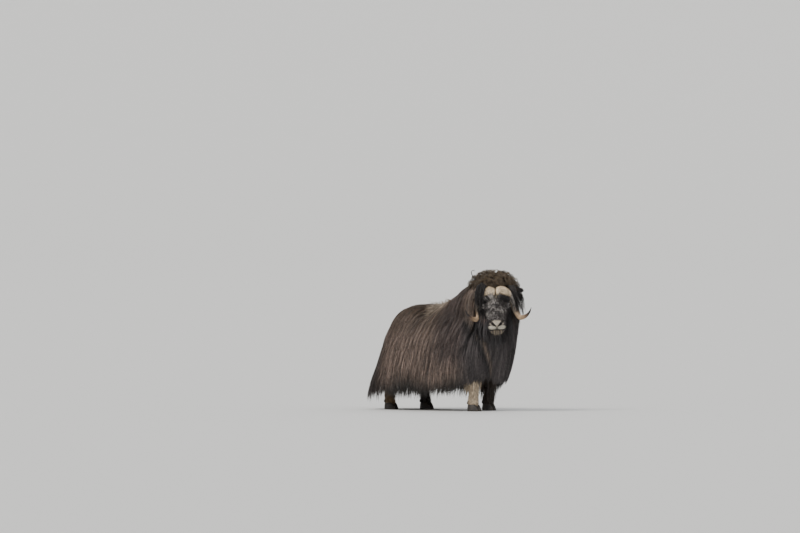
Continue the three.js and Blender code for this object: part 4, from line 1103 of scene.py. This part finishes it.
crownRoots = scatter(skinSurface, mop["spacing"], onCrown)
at, normals = skinSurface.nearest(crownRoots)[:2]
steps, count = 20, len(at)
middle, size = np.array(mop["at"]), np.array(mop["size"])
wander = dice.normal(0, 0.45, (count, 3))
lines, mopOuts = [], []
for k in range(steps):
    share = k / (steps - 1)
    local = (at - middle) @ mopTurn
    out = unit((local / size**2) @ mopTurn.T)
    depth = np.linalg.norm(local / size, axis=1)
    wish = mop["reach"] - mop["depth"] * (1 - min(1, share * 2)) / 0.19
    way = unit(pressed(unit(at - middle) * 0.4 + np.array([0, 0, -0.75]) + wander, out))
    lines.append(at)
    mopOuts.append(out)
    at = at + (way + out * np.clip((wish - depth) * 14, -0.7, 1.5)[:, None]) * mop["length"] / (steps - 1)
mopGuides, mopOuts = np.stack(lines, 1), np.stack(mopOuts, 1)
side = unit(np.cross(np.gradient(mopGuides, axis=1), mopOuts))
phase = dice.uniform(0, 2 * math.pi, (count, 1)) + np.linspace(0, 1, steps)[None] * dice.uniform(9, 14, (count, 1))
reach = mop["curl"] * np.linspace(0.5, 1, steps)[None, :, None]
mopGuides = mopGuides + reach * (side * np.cos(phase)[..., None] + mopOuts * np.sin(phase)[..., None])
hair = wisps(mopGuides, mopOuts, mop, mopColour)
mopPiece = tufts("mop_curls", *hair, skinSurface.onMap(hair[0][:, 0]))
settle(mopPiece, "coat", longHair, "neck")
print("mop", len(mopPiece.data.polygons))

# The short fur of the face, dark to the sides, grizzled on the brow and pale round the mouth.
face = {
    "tufts": 12200,
    "width": 0.0027,
    "lift": 0.22,
    "lower": [(0.0, -0.513), (0.055, -0.511), (0.080, -0.500), (0.100, -0.478)],  # edge of the lip, by abs(v)
    "upper": [(0.0, -0.465), (0.020, -0.460), (0.050, -0.447), (0.080, -0.452), (0.100, -0.470)],
    "pad": [(0.0, 0.492), (0.016, 0.489), (0.047, 0.468), (0.064, 0.454), (0.080, 0.440)],  # end of the bare nose
}
faceShades = {
    "dark": linear(52, 46, 45),
    "grizzle": linear(206, 199, 193),
    "nose": linear(196, 184, 166),
    "lip": linear(222, 214, 196),
    "chin": linear(158, 143, 122),
    # dark bare skin round the eyes, and painted shade in the nostrils and along the mouth
    "bare": linear(26, 22, 21),
    "ring": linear(190, 186, 182),
}
# Where pale hairs stand among the dark ones: v, height over the brow line w - u, reach each way and share.
grizzled = [
    (-0.034, -0.200, 0.045, 0.080, 1.0),
    (-0.014, -0.070, 0.034, 0.065, 0.8),
    (-0.080, -0.080, 0.035, 0.050, 0.45),
    (0.062, -0.235, 0.040, 0.050, 0.6),
    (-0.090, -0.285, 0.035, 0.050, 0.5),
    (0.0, -0.330, 0.08, 0.06, 0.28),
]


def mottle(local, scale):
    # even noise from about -0.6 to 0.6
    flat = [noise.noise(Vector(place) * scale) for place in local.reshape(-1, 3)]
    return np.array(flat).reshape(local.shape[:-1])


def faceColour(local, grizzle):
    # grizzle is a number from 0 to 1 for each place, above which a hair is dark
    u, v, w = np.moveaxis(local, -1, 0)
    high, off = w - u, np.abs(v)
    front = smoothStep(-0.04, 0.02, w) * smoothStep(0.04, 0.09, u)
    pale = sum(
        share * peak(v, at, wide) * peak(high, level, tall) for at, level, wide, tall, share in grizzled
    )
    pale = pale * front * np.clip(0.6 + 1.5 * (mottle(local, 75) + 0.8 * mottle(local, 31)), 0, 1.6)
    tone = np.broadcast_to(faceShades["dark"], local.shape)
    tone = mixed(tone, faceShades["grizzle"], np.where(grizzle < pale * 0.85, 1.0, 0.22 * pale))
    tone = mixed(tone, faceShades["nose"], peak(v, 0, 0.020) * peak(high, -0.012, 0.022) * (w > 0.05))
    for side in (1, -1):
        outside = lidDistance(local, side)
        ring = smoothStep(0.002, 0.006, outside) * (1 - smoothStep(0.011, 0.018, outside))
        tone = mixed(tone, faceShades["ring"], ring * np.where(grizzle < 0.7, 0.9, 0.2))
    spots = 0.5 + 0.5 * np.sin(v * 410 + 3 * np.sin(high * 300)) * np.sin(high * 390 + 2 * np.sin(v * 250))
    lower, upper = follow(face["lower"], off), follow(face["upper"], off)
    lip = smoothStep(lower + 0.001, lower + 0.007, high) * (1 - smoothStep(upper - 0.006, upper + 0.004, high))
    lip = lip * (u > 0.4) * (1 - smoothStep(0.066, 0.098, off) * 0.75)
    lip = lip * (1 - 0.85 * peak(v, 0, 0.011 + 0.25 * np.maximum(-0.47 - high, 0)))
    lip = lip * (0.82 + 0.18 * smoothStep(0.10, 0.04, off))
    tone = mixed(tone, faceShades["lip"] * (0.7 + 0.3 * spots)[..., None], lip)
    end = follow(face["pad"], off)
    pad = smoothStep(0.414, 0.428, u) * (1 - smoothStep(end - 0.002, end + 0.004, u))
    pad = pad * smoothStep(0.012, 0.028, w) * (1 - smoothStep(0.062, 0.074, off))
    for side in (1, -1):
        outside = nostrilDistance(local, side)
        wing = smoothStep(0.001, 0.004, outside) * (1 - smoothStep(0.006, 0.018, outside)) * (side * v > 0.03)
        tone = mixed(tone, faceShades["nose"] * 0.75, 0.7 * wing)
    tone = mixed(tone, faceShades["nose"] * (0.72 + 0.28 * spots)[..., None], pad)
    chin = 1 - smoothStep(0.55, 1.1, (v / 0.074) ** 2 + ((high + 0.545) / 0.044) ** 2)
    chin = chin * (u > 0.38) * np.clip(0.48 + 0.52 * np.sin(v * 360 + 2 * np.sin(v * 90)), 0, 1)
    tone = mixed(tone, faceShades["chin"], chin)
    # painted shade: a near-black line along the lower lip's edge, in the groove of the mouth
    slit = peak(high, lower - 0.001, 0.0062) * (u > 0.4) * (1 - smoothStep(0.075, 0.1, off))
    return mixed(tone, faceShades["bare"], 0.95 * slit)


def onFur(places):
    local = inHead(places)
    u, v, w = local.T
    pad = (u > 0.424) & (w > 0.022) & (np.abs(v) < 0.056)
    crown = (u < 0.1) & (w > 0.0)
    mouth = (np.abs(w - mouthLevel(u)) < 0.005) & (u > 0.42)
    bare = np.zeros(len(places), bool)
    for side in (1, -1):
        bare |= (lidDistance(local, side) < 0.003) | (nostrilDistance(local, side) < 0.003)
    return (u > 0.0) & (np.abs(v) < 0.2) & (np.abs(w) < 0.2) & ~pad & ~crown & ~mouth & ~bare


facePlaces, faceNormals, faceBake = sprinkle(skinSurface, face["tufts"], onFur)
local = inHead(facePlaces)
u, v, w = local.T
aside = 0.9 * np.sign(v) * np.abs(v / 0.1) ** 0.8
flow = np.stack([0.9 - 0.44 * smoothStep(0.32, 0.44, u), aside, np.full(len(u), -0.35)], 1) @ headTurn.T
flow[:, 2] -= 0.5
faceLength = 0.018 + 0.03 * smoothStep(0.3, 0.0, u)
faceLength = faceLength + 0.05 * smoothStep(-0.06, -0.15, w) * smoothStep(0.46, 0.38, u)
folded = local * np.stack([np.ones(len(v)), np.sign(v), np.ones(len(v))], 1)
sockets = np.linalg.norm(folded - head["eye"]["at"], axis=1)
faceLength = np.minimum(faceLength, 0.006 + 0.7 * np.maximum(sockets - 0.026, 0))
faceLength = faceLength * (1 - 0.62 * smoothStep(0.4, 0.45, u) * smoothStep(-0.1, -0.06, w))
faceLength = faceLength * dice.uniform(0.75, 1.2, len(u))
tone = faceColour(local, dice.random(len(u)))
facePiece = tufts("face_fur", *shortFur(facePlaces, faceNormals, flow, faceLength, face, tone), faceBake)

# The brow's longer hair stands up over the lower edge of the horns.
brow = {"tufts": 1900, "width": 0.0028, "length": 0.034, "lift": 1.9}


def onBrow(places):
    u, v, w = inHead(places).T
    edge = 0.128 + 0.5 * np.maximum(np.abs(v) - 0.07, 0)
    return (u > edge - 0.012) & (u < edge + 0.032) & (np.abs(v) > 0.020) & (np.abs(v) < 0.125) & (w > 0.05)


browPlaces, browNormals, browBake = sprinkle(skinSurface, brow["tufts"], onBrow)
local = inHead(browPlaces)
way = np.stack([np.full(len(local), -0.8), 6 * local[:, 1], np.full(len(local), 0.1)], 1) @ headTurn.T
# the brow hair on the animal's left is darker: painted shade on the side turned from the light
tone = faceColour(local, dice.random(len(local)) * 1.3) * np.where(local[:, 1:2] > 0, 0.7, 1.0)
lengths = brow["length"] * dice.uniform(0.5, 1.2, len(local))
browPiece = tufts("brow_fur", *shortFur(browPlaces, browNormals, way, lengths, brow, tone), browBake)
settle(browPiece, "face_fur", longHair)
settle(facePiece, "face_fur", longHair, "head")

beard = {
    "tufts": 260,
    "perWisp": 9,
    "radius": 0.022,
    "length": 0.2,
    "varies": (0.7, 1.15),
    "width": 0.007,
    "clump": 0.6,
    "wave": 0.006,
    "out": 0.5,
    "pull": (0.0, 0.0, -1.0),
}


def underJaw(places):
    u, v, w = inHead(places).T
    return (u > 0.1) & (u < 0.43) & (w < -0.09) & onFace(places)


beardPiece = hangingHair("beard", skinSurface, beard, underJaw, plain(shades["beard"]))
settle(beardPiece, "dark_coat", longHair)
print("face and beard", len(facePiece.data.polygons), len(beardPiece.data.polygons))

# Hair round the horns: each row's guides run through these places of the head's frame.
darkLock, dullLock = linear(38, 34, 33), linear(44, 39, 38)
locks = {
    "perWisp": 9,
    "radius": 0.007,
    "width": 0.0042,
    "clump": 0.5,
    "wave": 0.004,
    "pale": linear(186, 180, 172),
    "rows": [
        {
            "name": "right tassels", "sides": (-1,), "count": 96, "spread": 0.046, "shortest": 0.45,
            "shade": darkLock, "pale": 0.0,
            "through": [
                (-0.020, 0.130, 0.120), (0.040, 0.148, 0.150), (0.085, 0.160, 0.146), (0.124, 0.172, 0.112),
                (0.162, 0.180, 0.070), (0.192, 0.188, 0.020), (0.224, 0.192, -0.030), (0.262, 0.194, -0.080),
            ],
        },
        {
            "name": "left tassels", "sides": (1,), "count": 60, "spread": 0.026, "shortest": 0.45,
            "shade": darkLock, "pale": 0.0,
            "through": [
                (0.000, 0.160, 0.105), (0.050, 0.180, 0.112), (0.100, 0.194, 0.086), (0.140, 0.206, 0.035),
                (0.180, 0.222, -0.030), (0.220, 0.234, -0.090), (0.250, 0.242, -0.140),
            ],
        },
        {
            "name": "mane", "sides": (1,), "count": 56, "spread": 0.050, "shortest": 0.35,
            "shade": dullLock, "pale": 0.0,
            "through": [
                (0.000, 0.205, 0.010), (0.040, 0.232, 0.000), (0.080, 0.245, -0.060), (0.120, 0.248, -0.125),
                (0.160, 0.246, -0.190), (0.190, 0.238, -0.250),
            ],
        },
        {
            "name": "temples", "sides": (1, -1), "count": 26, "spread": 0.015, "shortest": 0.45,
            "shade": linear(58, 52, 50), "pale": 0.36,
            "through": [
                (0.085, 0.148, 0.100), (0.125, 0.160, 0.070), (0.165, 0.172, 0.018), (0.205, 0.180, -0.042),
                (0.245, 0.184, -0.110),
            ],
        },
        {
            "name": "stray curl", "sides": (-1,), "count": 3, "spread": 0.004, "shortest": 0.9,
            "shade": linear(60, 50, 40), "pale": 0.0,
            "through": [
                (-0.130, 0.205, 0.080), (-0.165, 0.232, 0.110), (-0.185, 0.240, 0.140), (-0.195, 0.228, 0.162),
                (-0.190, 0.206, 0.168), (-0.180, 0.196, 0.150),
            ],
        },
        {
            "name": "fringe under the ears", "sides": (1, -1), "count": 16, "spread": 0.026, "shortest": 0.4,
            "shade": linear(30, 27, 27), "pale": 0.0,
            "through": [
                (-0.012, 0.185, -0.002), (0.015, 0.200, -0.030), (0.050, 0.210, -0.070), (0.088, 0.222, -0.11),
            ],
        },
    ],
}
along = np.linspace(0, 1, 9)
parts = []
for row in locks["rows"]:
    for side in row["sides"]:
        count = row["count"]
        middle = curveThrough(row["through"], len(along)) * (1, side, 1)
        middle[:, 1] += horns["hookShift"]["left"] / 2 * smoothStep(0.1, 0.2, middle[:, 0])
        jitter = dice.uniform(-1, 1, (count, 1, 3)) * row["spread"] * (0.5, 1.0, 0.5)
        reach = dice.uniform(row["shortest"], 1.0, count)[:, None] * along[None]
        guide = atShare(np.repeat(middle[None], count, 0), reach) + jitter
        guide = guide + dice.normal(0, 0.005, guide.shape) * along[None, :, None]
        out = unit(guide - np.array([0.05, 0, -0.06]))
        hair, outs, thick, tone = wisps(fromHead(guide), out @ headTurn.T, locks, np.ones_like)
        pale = dice.random(len(tone)) < row["pale"]
        parts.append((hair, outs, thick, tone * np.where(pale[:, None], locks["pale"], row["shade"])[:, None]))
hair = [np.concatenate(part) for part in zip(*parts)]
lockPiece = tufts("horn_side_locks", *hair, skinSurface.onMap(hair[0][:, 0]))
settle(lockPiece, "dark_coat", longHair)

# The tail: a short stub in the coat, which its own long hair hides.
tail = {
    "stub": [
        (-0.59, 0, 0.905, 0.024, 0.034), (-0.648, 0, 0.868, 0.022, 0.032), (-0.69, 0, 0.812, 0.02, 0.029),
        (-0.712, 0, 0.75, 0.016, 0.022), (-0.721, 0, 0.722, 0.006, 0.008),
    ],
    "tufts": 60,
    "perWisp": 8,
    "radius": 0.012,
    "length": 0.17,
    "varies": (0.6, 1.1),
    "width": 0.006,
    "clump": 0.55,
    "wave": 0.006,
    "out": 0.35,
    "pull": (-0.22, 0.0, -1.0),
    "orderFrom": (0.3, 0.7, 0.1),
}
stub = tube("tail_stub", tail["stub"], sides=20)
# An extruded tube has its faces in another order each run. Sorting them by their distance from a point fixes it.
bpy.context.scene.cursor.location = tail["orderFrom"]
select(stub)
editAll()
bpy.ops.mesh.sort_elements(type="CURSOR_DISTANCE", elements={"VERT", "EDGE", "FACE"})
bpy.ops.object.mode_set(mode="OBJECT")
bpy.context.scene.cursor.location = (0, 0, 0)
applyModifier(stub, "SUBSURF", levels=1, render_levels=1)
stubSurface = unwrapped(stub, 0.02, outward=False)
tailHair = hangingHair("tail_hair", stubSurface, tail, lambda p: p[:, 0] < -0.6, plain(shades["rear"]))
giveTint(stub.data, shades["rear"] * 0.6)
settle(stub, "coat", longHair, "tail")
settle(tailHair, "coat", longHair)
print("locks of the horns and tail", len(lockPiece.data.polygons), len(tailHair.data.polygons))

# The legs, down to the hooves, each in a colour of its own: the front right pale, the other three darker, partly from
# dark hair and partly as painted shade.
legs = {"tufts": 7600, "width": 0.0058, "length": 0.046, "lift": 0.26, "low": 0.055, "high": 0.42}
# the two left legs and the hind right are darkened partly with painted shade
legShades = {
    "front": {"left": linear(62, 50, 40), "right": linear(212, 192, 165)},
    "hind": {"left": linear(52, 45, 40), "right": linear(124, 102, 74)},
}


def legColour(places):
    x, y, z = (places[..., k, None] for k in range(3))
    front, hind = (np.where(y > 0, legShades[pair]["left"], legShades[pair]["right"]) for pair in ("front", "hind"))
    tone = np.where(x > 0, front, hind)
    return mixed(tone, tone * 0.55, smoothStep(0.28, 0.42, z[..., 0]))


legPlaces, legNormals, legBake = sprinkle(
    skinSurface, legs["tufts"], lambda p: (p[:, 2] < legs["high"]) & (p[:, 2] > legs["low"])
)
ways = np.tile([-0.25, 0.0, -1.0], (len(legPlaces), 1))
lengths = legs["length"] * dice.uniform(0.7, 1.25, len(ways)) * (0.55 + 0.45 * smoothStep(0.08, 0.2, legPlaces[:, 2]))
legPiece = tufts("leg_fur", *shortFur(legPlaces, legNormals, ways, lengths, legs, legColour(legPlaces)), legBake)
settle(legPiece, "leg_fur", longHair, "leg_front_left", "leg_front_right", "leg_hind_left", "leg_hind_right")

shag = {
    "tufts": 240,
    "perWisp": 8,
    "radius": 0.014,
    "length": 0.2,
    "varies": (0.6, 1.1),
    "width": 0.0062,
    "clump": 0.5,
    "wave": 0.006,
    "out": 0.25,
    "pull": (-0.1, 0.0, -1.0),
    "shorterBehind": 0.72,
}


def shagShare(places):
    x, y, z = places.T
    leftFore = (x > 0.3) & (y > 0) & (z > 0.16)
    hind = (x < 0) & (z > 0.26)
    rightFore = (x > 0.3) & (y < 0) & (z > 0.31)
    return (z < 0.44) & (leftFore | hind | rightFore)


def shagLengths(places, lengths):
    lengths = np.minimum(lengths, places[:, 2] - legs["low"])
    return np.where(places[:, 0] < 0, lengths * shag["shorterBehind"], lengths)


shagPiece = hangingHair("leg_shag", skinSurface, shag, shagShare, lambda p: legColour(p) * 0.72, shagLengths)
settle(shagPiece, "leg_fur", longHair)

# The pale wool of the saddle.
saddle = {"tufts": 2500, "width": 0.0068, "length": 0.082, "lift": 0.32, "curl": 0.008, "stations": 6}
places, normals, bakeAt = sprinkle(skinSurface, saddle["tufts"], lambda p: saddleShare(p) > 0.15)
count = len(places)
away = np.stack([np.full(count, -0.3), 0.5 * np.tanh(places[:, 1] / 0.05), np.full(count, -0.2)], 1)
tone = mixed(coatColour(places), shades["saddle"], saddleShare(places))
lengths = saddle["length"] * dice.uniform(0.8, 1.15, count)
saddlePiece = tufts("saddle_wool", *shortFur(places, normals, away, lengths, saddle, tone), bakeAt)
settle(saddlePiece, "coat", longHair)
print("legs and saddle", len(legPiece.data.polygons), len(saddlePiece.data.polygons))


def skinColour(places):
    # The skin is darker than the hair over it: partly the darker underwool, partly painted shade deep in the coat.
    tone = mixed(coatColour(places) * 0.5, legColour(places) * 0.8, 1.0 * (places[..., 2] < legs["high"]))
    local = inHead(places)
    u, v, w = np.moveaxis(local, -1, 0)
    onHead = smoothStep(0.0, 0.05, u) * (np.abs(v) < 0.2) * (np.abs(w) < 0.2)
    tone = mixed(tone, faceColour(local, np.full(u.shape, 0.9)) * 0.85, onHead)
    # Near black inside the nostrils, round the eye openings and along the mouth: dark bare skin round the eyes,
    # painted shade in the nostrils and the mouth's groove.
    for side in (1, -1):
        tone = mixed(tone, faceShades["bare"], 1 - smoothStep(-0.002, 0.0035, nostrilDistance(local, side)))
        tone = mixed(tone, faceShades["bare"], 1 - smoothStep(0.001, 0.004, lidDistance(local, side)))
    slit = peak(w, mouthLevel(u), features["mouth"]["half"])
    return mixed(tone, faceShades["bare"], slit * smoothStep(0.36, 0.4, u))


giveTint(barrel.data, skinColour(read(barrel.data.vertices, "co")))
settle(
    barrel, "coat", furrySkin,
    "hindquarters_left", "hindquarters_right", "flank_left", "flank_right", "shoulder_left", "shoulder_right", "chest",
)


def hornMaterial():
    paint = Paint("hornSheath")
    lay = paint.add("ShaderNodeUVMap", {"uv_map": "along"})
    stretched = paint.add("ShaderNodeMapping", None, {"Vector": lay, "Scale": (30.0, 5.0, 1.0)})
    fibres = paint.noise(stretched, 2.2, 6.0)
    stains = paint.noise(paint.objectPlace(), 24.0, 3.0)
    return paint.finish({
        "Base Color": paint.tinted(fibres * 1.9 + stains * 1.3 - 0.6),
        "Roughness": 0.62 - fibres * 0.3,
        "Normal": paint.bump(fibres, 0.004),
    })


hornPaint = hornMaterial()
hornShares, *hornColours = zip(*((row[0], *linear(*row[1:])) for row in horns["shades"]))
for side, sided in bothSides:
    middles = hornPath(side)
    piece = sweep(f"horn_{sided}_sheath", middles, hornSizes, horns["sides"])
    points = read(piece.data.vertices, "co")
    ring = np.linalg.norm(points[:, None] - middles[None], axis=2).argmin(1)
    share = ring / (len(middles) - 1)
    out = points - middles[ring]
    ways = unit(np.gradient(middles, axis=0))[ring]
    first = unit(pressed(np.tile([1.0, 0, 0], (len(points), 1)), ways))
    angle = np.arctan2((np.cross(ways, first) * out).sum(1), (first * out).sum(1))
    rough = (1 - smoothStep(0.24, 0.5, share)) * smoothStep(-0.1, 0.02, share)
    fibre = np.sin(angle * 17 + 5 * np.sin(share * 23)) + 0.7 * np.sin(angle * 29 + 1 + 4 * np.sin(share * 31 + 2))
    fibre = fibre + 0.9 * np.sin(share * 140 + 2.5 * np.sin(angle * 3)) * smoothStep(0.05, 0.2, share)
    fibre = (fibre * rough)[:, None]
    setPoints(piece, points + unit(out) * fibre * horns["fibre"])
    tone = np.stack([np.interp(share, hornShares, channel) for channel in hornColours], 1)
    giveTint(piece.data, tone * (1 + 0.24 * fibre))
    corners = read(piece.data.loops, "vertex_index", 1, int)[:, 0]
    lay = np.stack([np.abs(angle) / math.pi, share * 4], 1)[corners]
    piece.data.uv_layers.new(name="along").data.foreach_set("uv", lay.reshape(-1))
    select(piece)
    bpy.ops.object.shade_smooth()
    piece.data.transform(headPlace)
    settle(piece, "horn", hornPaint, f"horn_{sided}")
print("horns done")

# Eyes: dark, wet and set deep under the boss.
eyes = {
    "iris": linear(38, 25, 18),
    "pupil": linear(10, 9, 10),
    "white": linear(58, 46, 40),
    "bulge": 0.0018,  # of the clear front
    "pupilSize": (0.5, 0.34),
}


def eyeMaterial():
    paint = Paint("wetEye")
    return paint.finish({
        "Base Color": paint.tinted(paint.noise(paint.objectPlace(), 420.0, 2.0) * 0.8 + 0.6),
        "Roughness": 0.3,
        "Specular IOR Level": 0.3,
        "Coat Weight": 0.35,
        "Coat Roughness": 0.03,
    })


eyePaint = eyeMaterial()
for side, sided in bothSides:
    at = np.array(head["eye"]["at"]) * (1, side, 1)
    radius = head["eye"]["radius"]
    axis = Vector(head["eye"]["axis"])
    axis.y *= side
    turn = axis.to_track_quat("Z", "Y").to_euler()
    bpy.ops.object.select_all(action="DESELECT")
    bpy.ops.mesh.primitive_uv_sphere_add(segments=48, ring_count=32, radius=radius, location=tuple(at), rotation=turn)
    piece = bpy.context.object
    applyPlace(piece)
    points = read(piece.data.vertices, "co")
    across, up, out = (part / radius for part in eyeFrame(points, side)[1:])
    bulge = smoothStep(0.72, 1.0, out)[:, None] * eyes["bulge"]
    setPoints(piece, points + np.array(axis.normalized()) * bulge)
    tone = mixed(plain(eyes["iris"])(points), eyes["white"], smoothStep(0.66, 0.74, np.hypot(across, up)))
    wide, tall = eyes["pupilSize"]
    pupil = 1 - smoothStep(0.9, 1.1, np.hypot(across / wide, up / tall))
    giveTint(piece.data, mixed(tone, eyes["pupil"], pupil))
    bpy.ops.object.shade_smooth()
    placed(f"eye_{sided}_ball", headPlace)
    settle(piece, "eye", eyePaint, f"eye_{sided}")

# Ears: a leaf bent into a cup, furred outside and in.
ears = {
    "root": (-0.010, 0.128, 0.016),
    "length": 0.152,
    "half": 0.046,
    "cup": 0.024,
    "wall": 0.007,
    "tufts": 900,
    "lift": 0.3,
    "width": 0.0035,
}
for side, sided in bothSides:
    bpy.ops.object.select_all(action="DESELECT")
    bpy.ops.mesh.primitive_grid_add(x_subdivisions=14, y_subdivisions=18, size=2, location=(0, 0, 0))
    piece = bpy.context.object
    grid = read(piece.data.vertices, "co")
    turn, share = grid[:, 0] * 1.5, (grid[:, 1] + 1) / 2
    half = ears["half"] * np.sin(math.pi * (0.16 + 0.83 * share)) ** 0.62
    cup = ears["cup"] * np.sin(math.pi * np.minimum(1, 0.25 + share * 0.7)) * np.minimum(1, share * 5 + 0.1)
    across, depth = half * np.sin(turn), cup * (1 - np.cos(turn))
    u0, v0, w0 = ears["root"]
    local = np.stack(
        [
            u0 - 0.030 * share - across * 0.45 + depth * 0.82,
            (v0 + ears["length"] * share) * side,
            w0 + 0.004 - 0.020 * share**2 + across * 0.84 + depth * 0.5,
        ],
        1,
    )
    setPoints(piece, fromHead(local))
    applyModifier(piece, "SOLIDIFY", thickness=ears["wall"], offset=0)
    applyModifier(piece, "SUBSURF", levels=1, render_levels=1)
    earSurface = unwrapped(piece, 0.01)
    placed(f"ear_{sided}_leaf")
    places, normals, bakeAt = sprinkle(earSurface, ears["tufts"], lambda p: p[:, 2] > 0)
    ways = np.tile(np.array([-0.15, side, -0.25]) @ headTurn.T, (len(places), 1))
    brown = (dice.random(len(places)) < 0.15) * 1.0
    tone = mixed(plain(shades["chest"] * 0.8)(places), shades["mane"], brown)
    tip = smoothStep(0.4, 1.0, (inHead(places)[:, 1] * side - v0) / ears["length"])
    lengths = 0.012 + 0.010 * tip * dice.uniform(0.4, 1.4, len(places))
    fur = tufts(f"ear_{sided}_fur", *shortFur(places, normals, ways, lengths, ears, tone), bakeAt)
    giveTint(piece.data, shades["chest"] * 0.5)
    settle(piece, "dark_coat", longHair, f"ear_{sided}")
    settle(fur, "dark_coat", longHair)
print("eyes and ears done")

# Hooves: two broad claws with a heel between them and dewclaws behind.
hooves = {
    "feet": {  # x, y
        "front_left": (0.450, 0.178),
        "front_right": (0.566, -0.182),
        "hind_left": (-0.405, 0.168),
        "hind_right": (-0.598, -0.170),
    },
    "claw": [  # z, share of the size, middle's way back
        (0.0, 0.97, 0.0), (0.006, 1.0, 0.0), (0.022, 0.975, -0.003), (0.044, 0.87, -0.009),
        (0.062, 0.76, -0.014), (0.070, 0.6, -0.018),
    ],
    "heel": [(-0.012, 0.012, 0.03, 0.016), (-0.01, 0.03, 0.034, 0.021), (-0.01, 0.062, 0.036, 0.03)],  # x, z, sizes
    "ahead": 0.008,
    "long": 0.066,
    "wide": 0.031,
    "apart": 0.034,
    "inward": 0.009,  # of the claws' tips
}


def hoofMaterial():
    paint = Paint("hoofHorn")
    place = paint.objectPlace()
    flat = paint.add("ShaderNodeMapping", None, {"Vector": place, "Scale": (1.0, 1.0, 6.0)})
    rings = paint.noise(flat, 40.0, 5.0)
    dirt = paint.noise(place, 22.0, 6.0)
    worn = paint.add(
        "ShaderNodeValToRGB",
        {"stops": [(0.38, (0.012, 0.010, 0.009, 1)), (0.72, (0.075, 0.06, 0.048, 1))]},
        {"Fac": dirt * 0.6 + rings * 0.4},
    )
    return paint.finish({
        "Base Color": worn,
        "Roughness": 0.35 + dirt * 0.5,
        "Normal": paint.bump(rings, 0.002, 0.6),
    })


hoofPaint = hoofMaterial()
long, wide = hooves["long"], hooves["wide"]
for name, (x, y) in hooves["feet"].items():
    claws = []
    for side in (1, -1):
        middleX, middleY = x + hooves["ahead"], y + side * hooves["apart"]
        stations = [(middleX + back, middleY, z, long * size, wide * size) for z, size, back in hooves["claw"]]
        claw = tube("claw", stations, sides=28)
        points = read(claw.data.vertices, "co")
        points[:, 1] -= side * hooves["inward"] * np.clip((points[:, 0] - x) / long, 0, 1) ** 1.5
        setPoints(claw, points)
        claws.append(claw)
        claws.append(ball("dewclaw", (x - 0.060, y + side * 0.024, 0.088), (0.015, 0.014, 0.020), (0, 0.5, 0)))
    claws.append(tube("heel", [(x + back, y, z, *size) for back, z, *size in hooves["heel"]], sides=16))
    piece = joined(f"hoof_{name}_claws", claws)
    select(piece)
    bpy.ops.object.shade_smooth_by_angle(angle=math.radians(50))
    settle(piece, "hoof", hoofPaint, f"hoof_{name}")
print("hooves done")

# A pale floor that curves up far away on all sides, soft light and the photograph's long lens.
studio = {
    "azimuth": 42,
    "elevation": 0.6,
    "aim": (-0.346, -0.312, 1.487),
    "lens": 400,
    "frameWidth": 8.29,
    "floor": 160,
    "rise": 110,
    "bends": 12,
    "world": {"Color": (0.88, 0.9, 0.93, 1), "Strength": 0.75},
    "suns": [  # direction it comes from, strength, size in degrees, colour
        ((-0.15, -0.75, 0.9), 2.1, 28, (1.0, 0.96, 0.90)),
        ((0.9, -0.35, 0.5), 0.55, 60, (0.9, 0.95, 1.0)),
        ((-0.6, 0.8, 0.9), 0.5, 40, (1.0, 0.97, 0.93)),
    ],
}
circle(96, studio["floor"])
bpy.ops.mesh.inset(thickness=studio["floor"] * 0.5, depth=0)
bpy.ops.mesh.select_all(action="SELECT")
bpy.ops.mesh.region_to_loop()
reach, height = studio["floor"], 0
for k in range(1, studio["bends"] + 1):
    bend = math.radians(90 / studio["bends"] * k)
    nextReach = studio["floor"] + studio["rise"] * math.sin(bend)
    nextHeight = studio["rise"] * (1 - math.cos(bend))
    bpy.ops.mesh.extrude_edges_move(TRANSFORM_OT_translate={"value": (0, 0, nextHeight - height)})
    bpy.ops.transform.resize(value=(nextReach / reach, nextReach / reach, 1), center_override=(0, 0, nextHeight))
    reach, height = nextReach, nextHeight
bpy.ops.mesh.select_all(action="SELECT")
bpy.ops.object.mode_set(mode="OBJECT")
bpy.ops.object.shade_smooth()
floor = placed("floor")
floorPaint = Paint("paleFloor")
floor.data.materials.append(floorPaint.finish({"Base Color": (0.70, 0.70, 0.69, 1), "Roughness": 0.9}))
floor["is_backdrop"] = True

world = bpy.data.worlds.new("studioWorld")
bpy.context.scene.world = world
world.use_nodes = True
for key, value in studio["world"].items():
    world.node_tree.nodes["Background"].inputs[key].default_value = value


def addToScene(name, data, backward):
    # a light or camera that looks away from a direction
    thing = bpy.data.objects.new(name, data)
    bpy.context.scene.collection.objects.link(thing)
    thing.rotation_mode = "QUATERNION"
    thing.rotation_quaternion = Vector(backward).to_track_quat("Z", "Y")
    return thing


for toward, strength, size, colour in studio["suns"]:
    light = bpy.data.lights.new("sun", "SUN")
    light.energy, light.angle, light.color = strength, math.radians(size), colour
    addToScene("sun", light, toward)

turn, tilt = math.radians(studio["azimuth"]), math.radians(studio["elevation"])
back = Vector((math.sin(turn) * math.cos(tilt), -math.cos(turn) * math.cos(tilt), math.sin(tilt)))
lens = bpy.data.cameras.new("camera")
lens.lens, lens.sensor_width = studio["lens"], 36
lens.clip_start, lens.clip_end = 1, 900
camera = addToScene("camera", lens, back)
camera.location = Vector(studio["aim"]) + shift + back * studio["frameWidth"] * lens.lens / lens.sensor_width
bpy.context.scene.camera = camera

low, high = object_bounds()
print("size", [round(v, 3) for v in high - low])
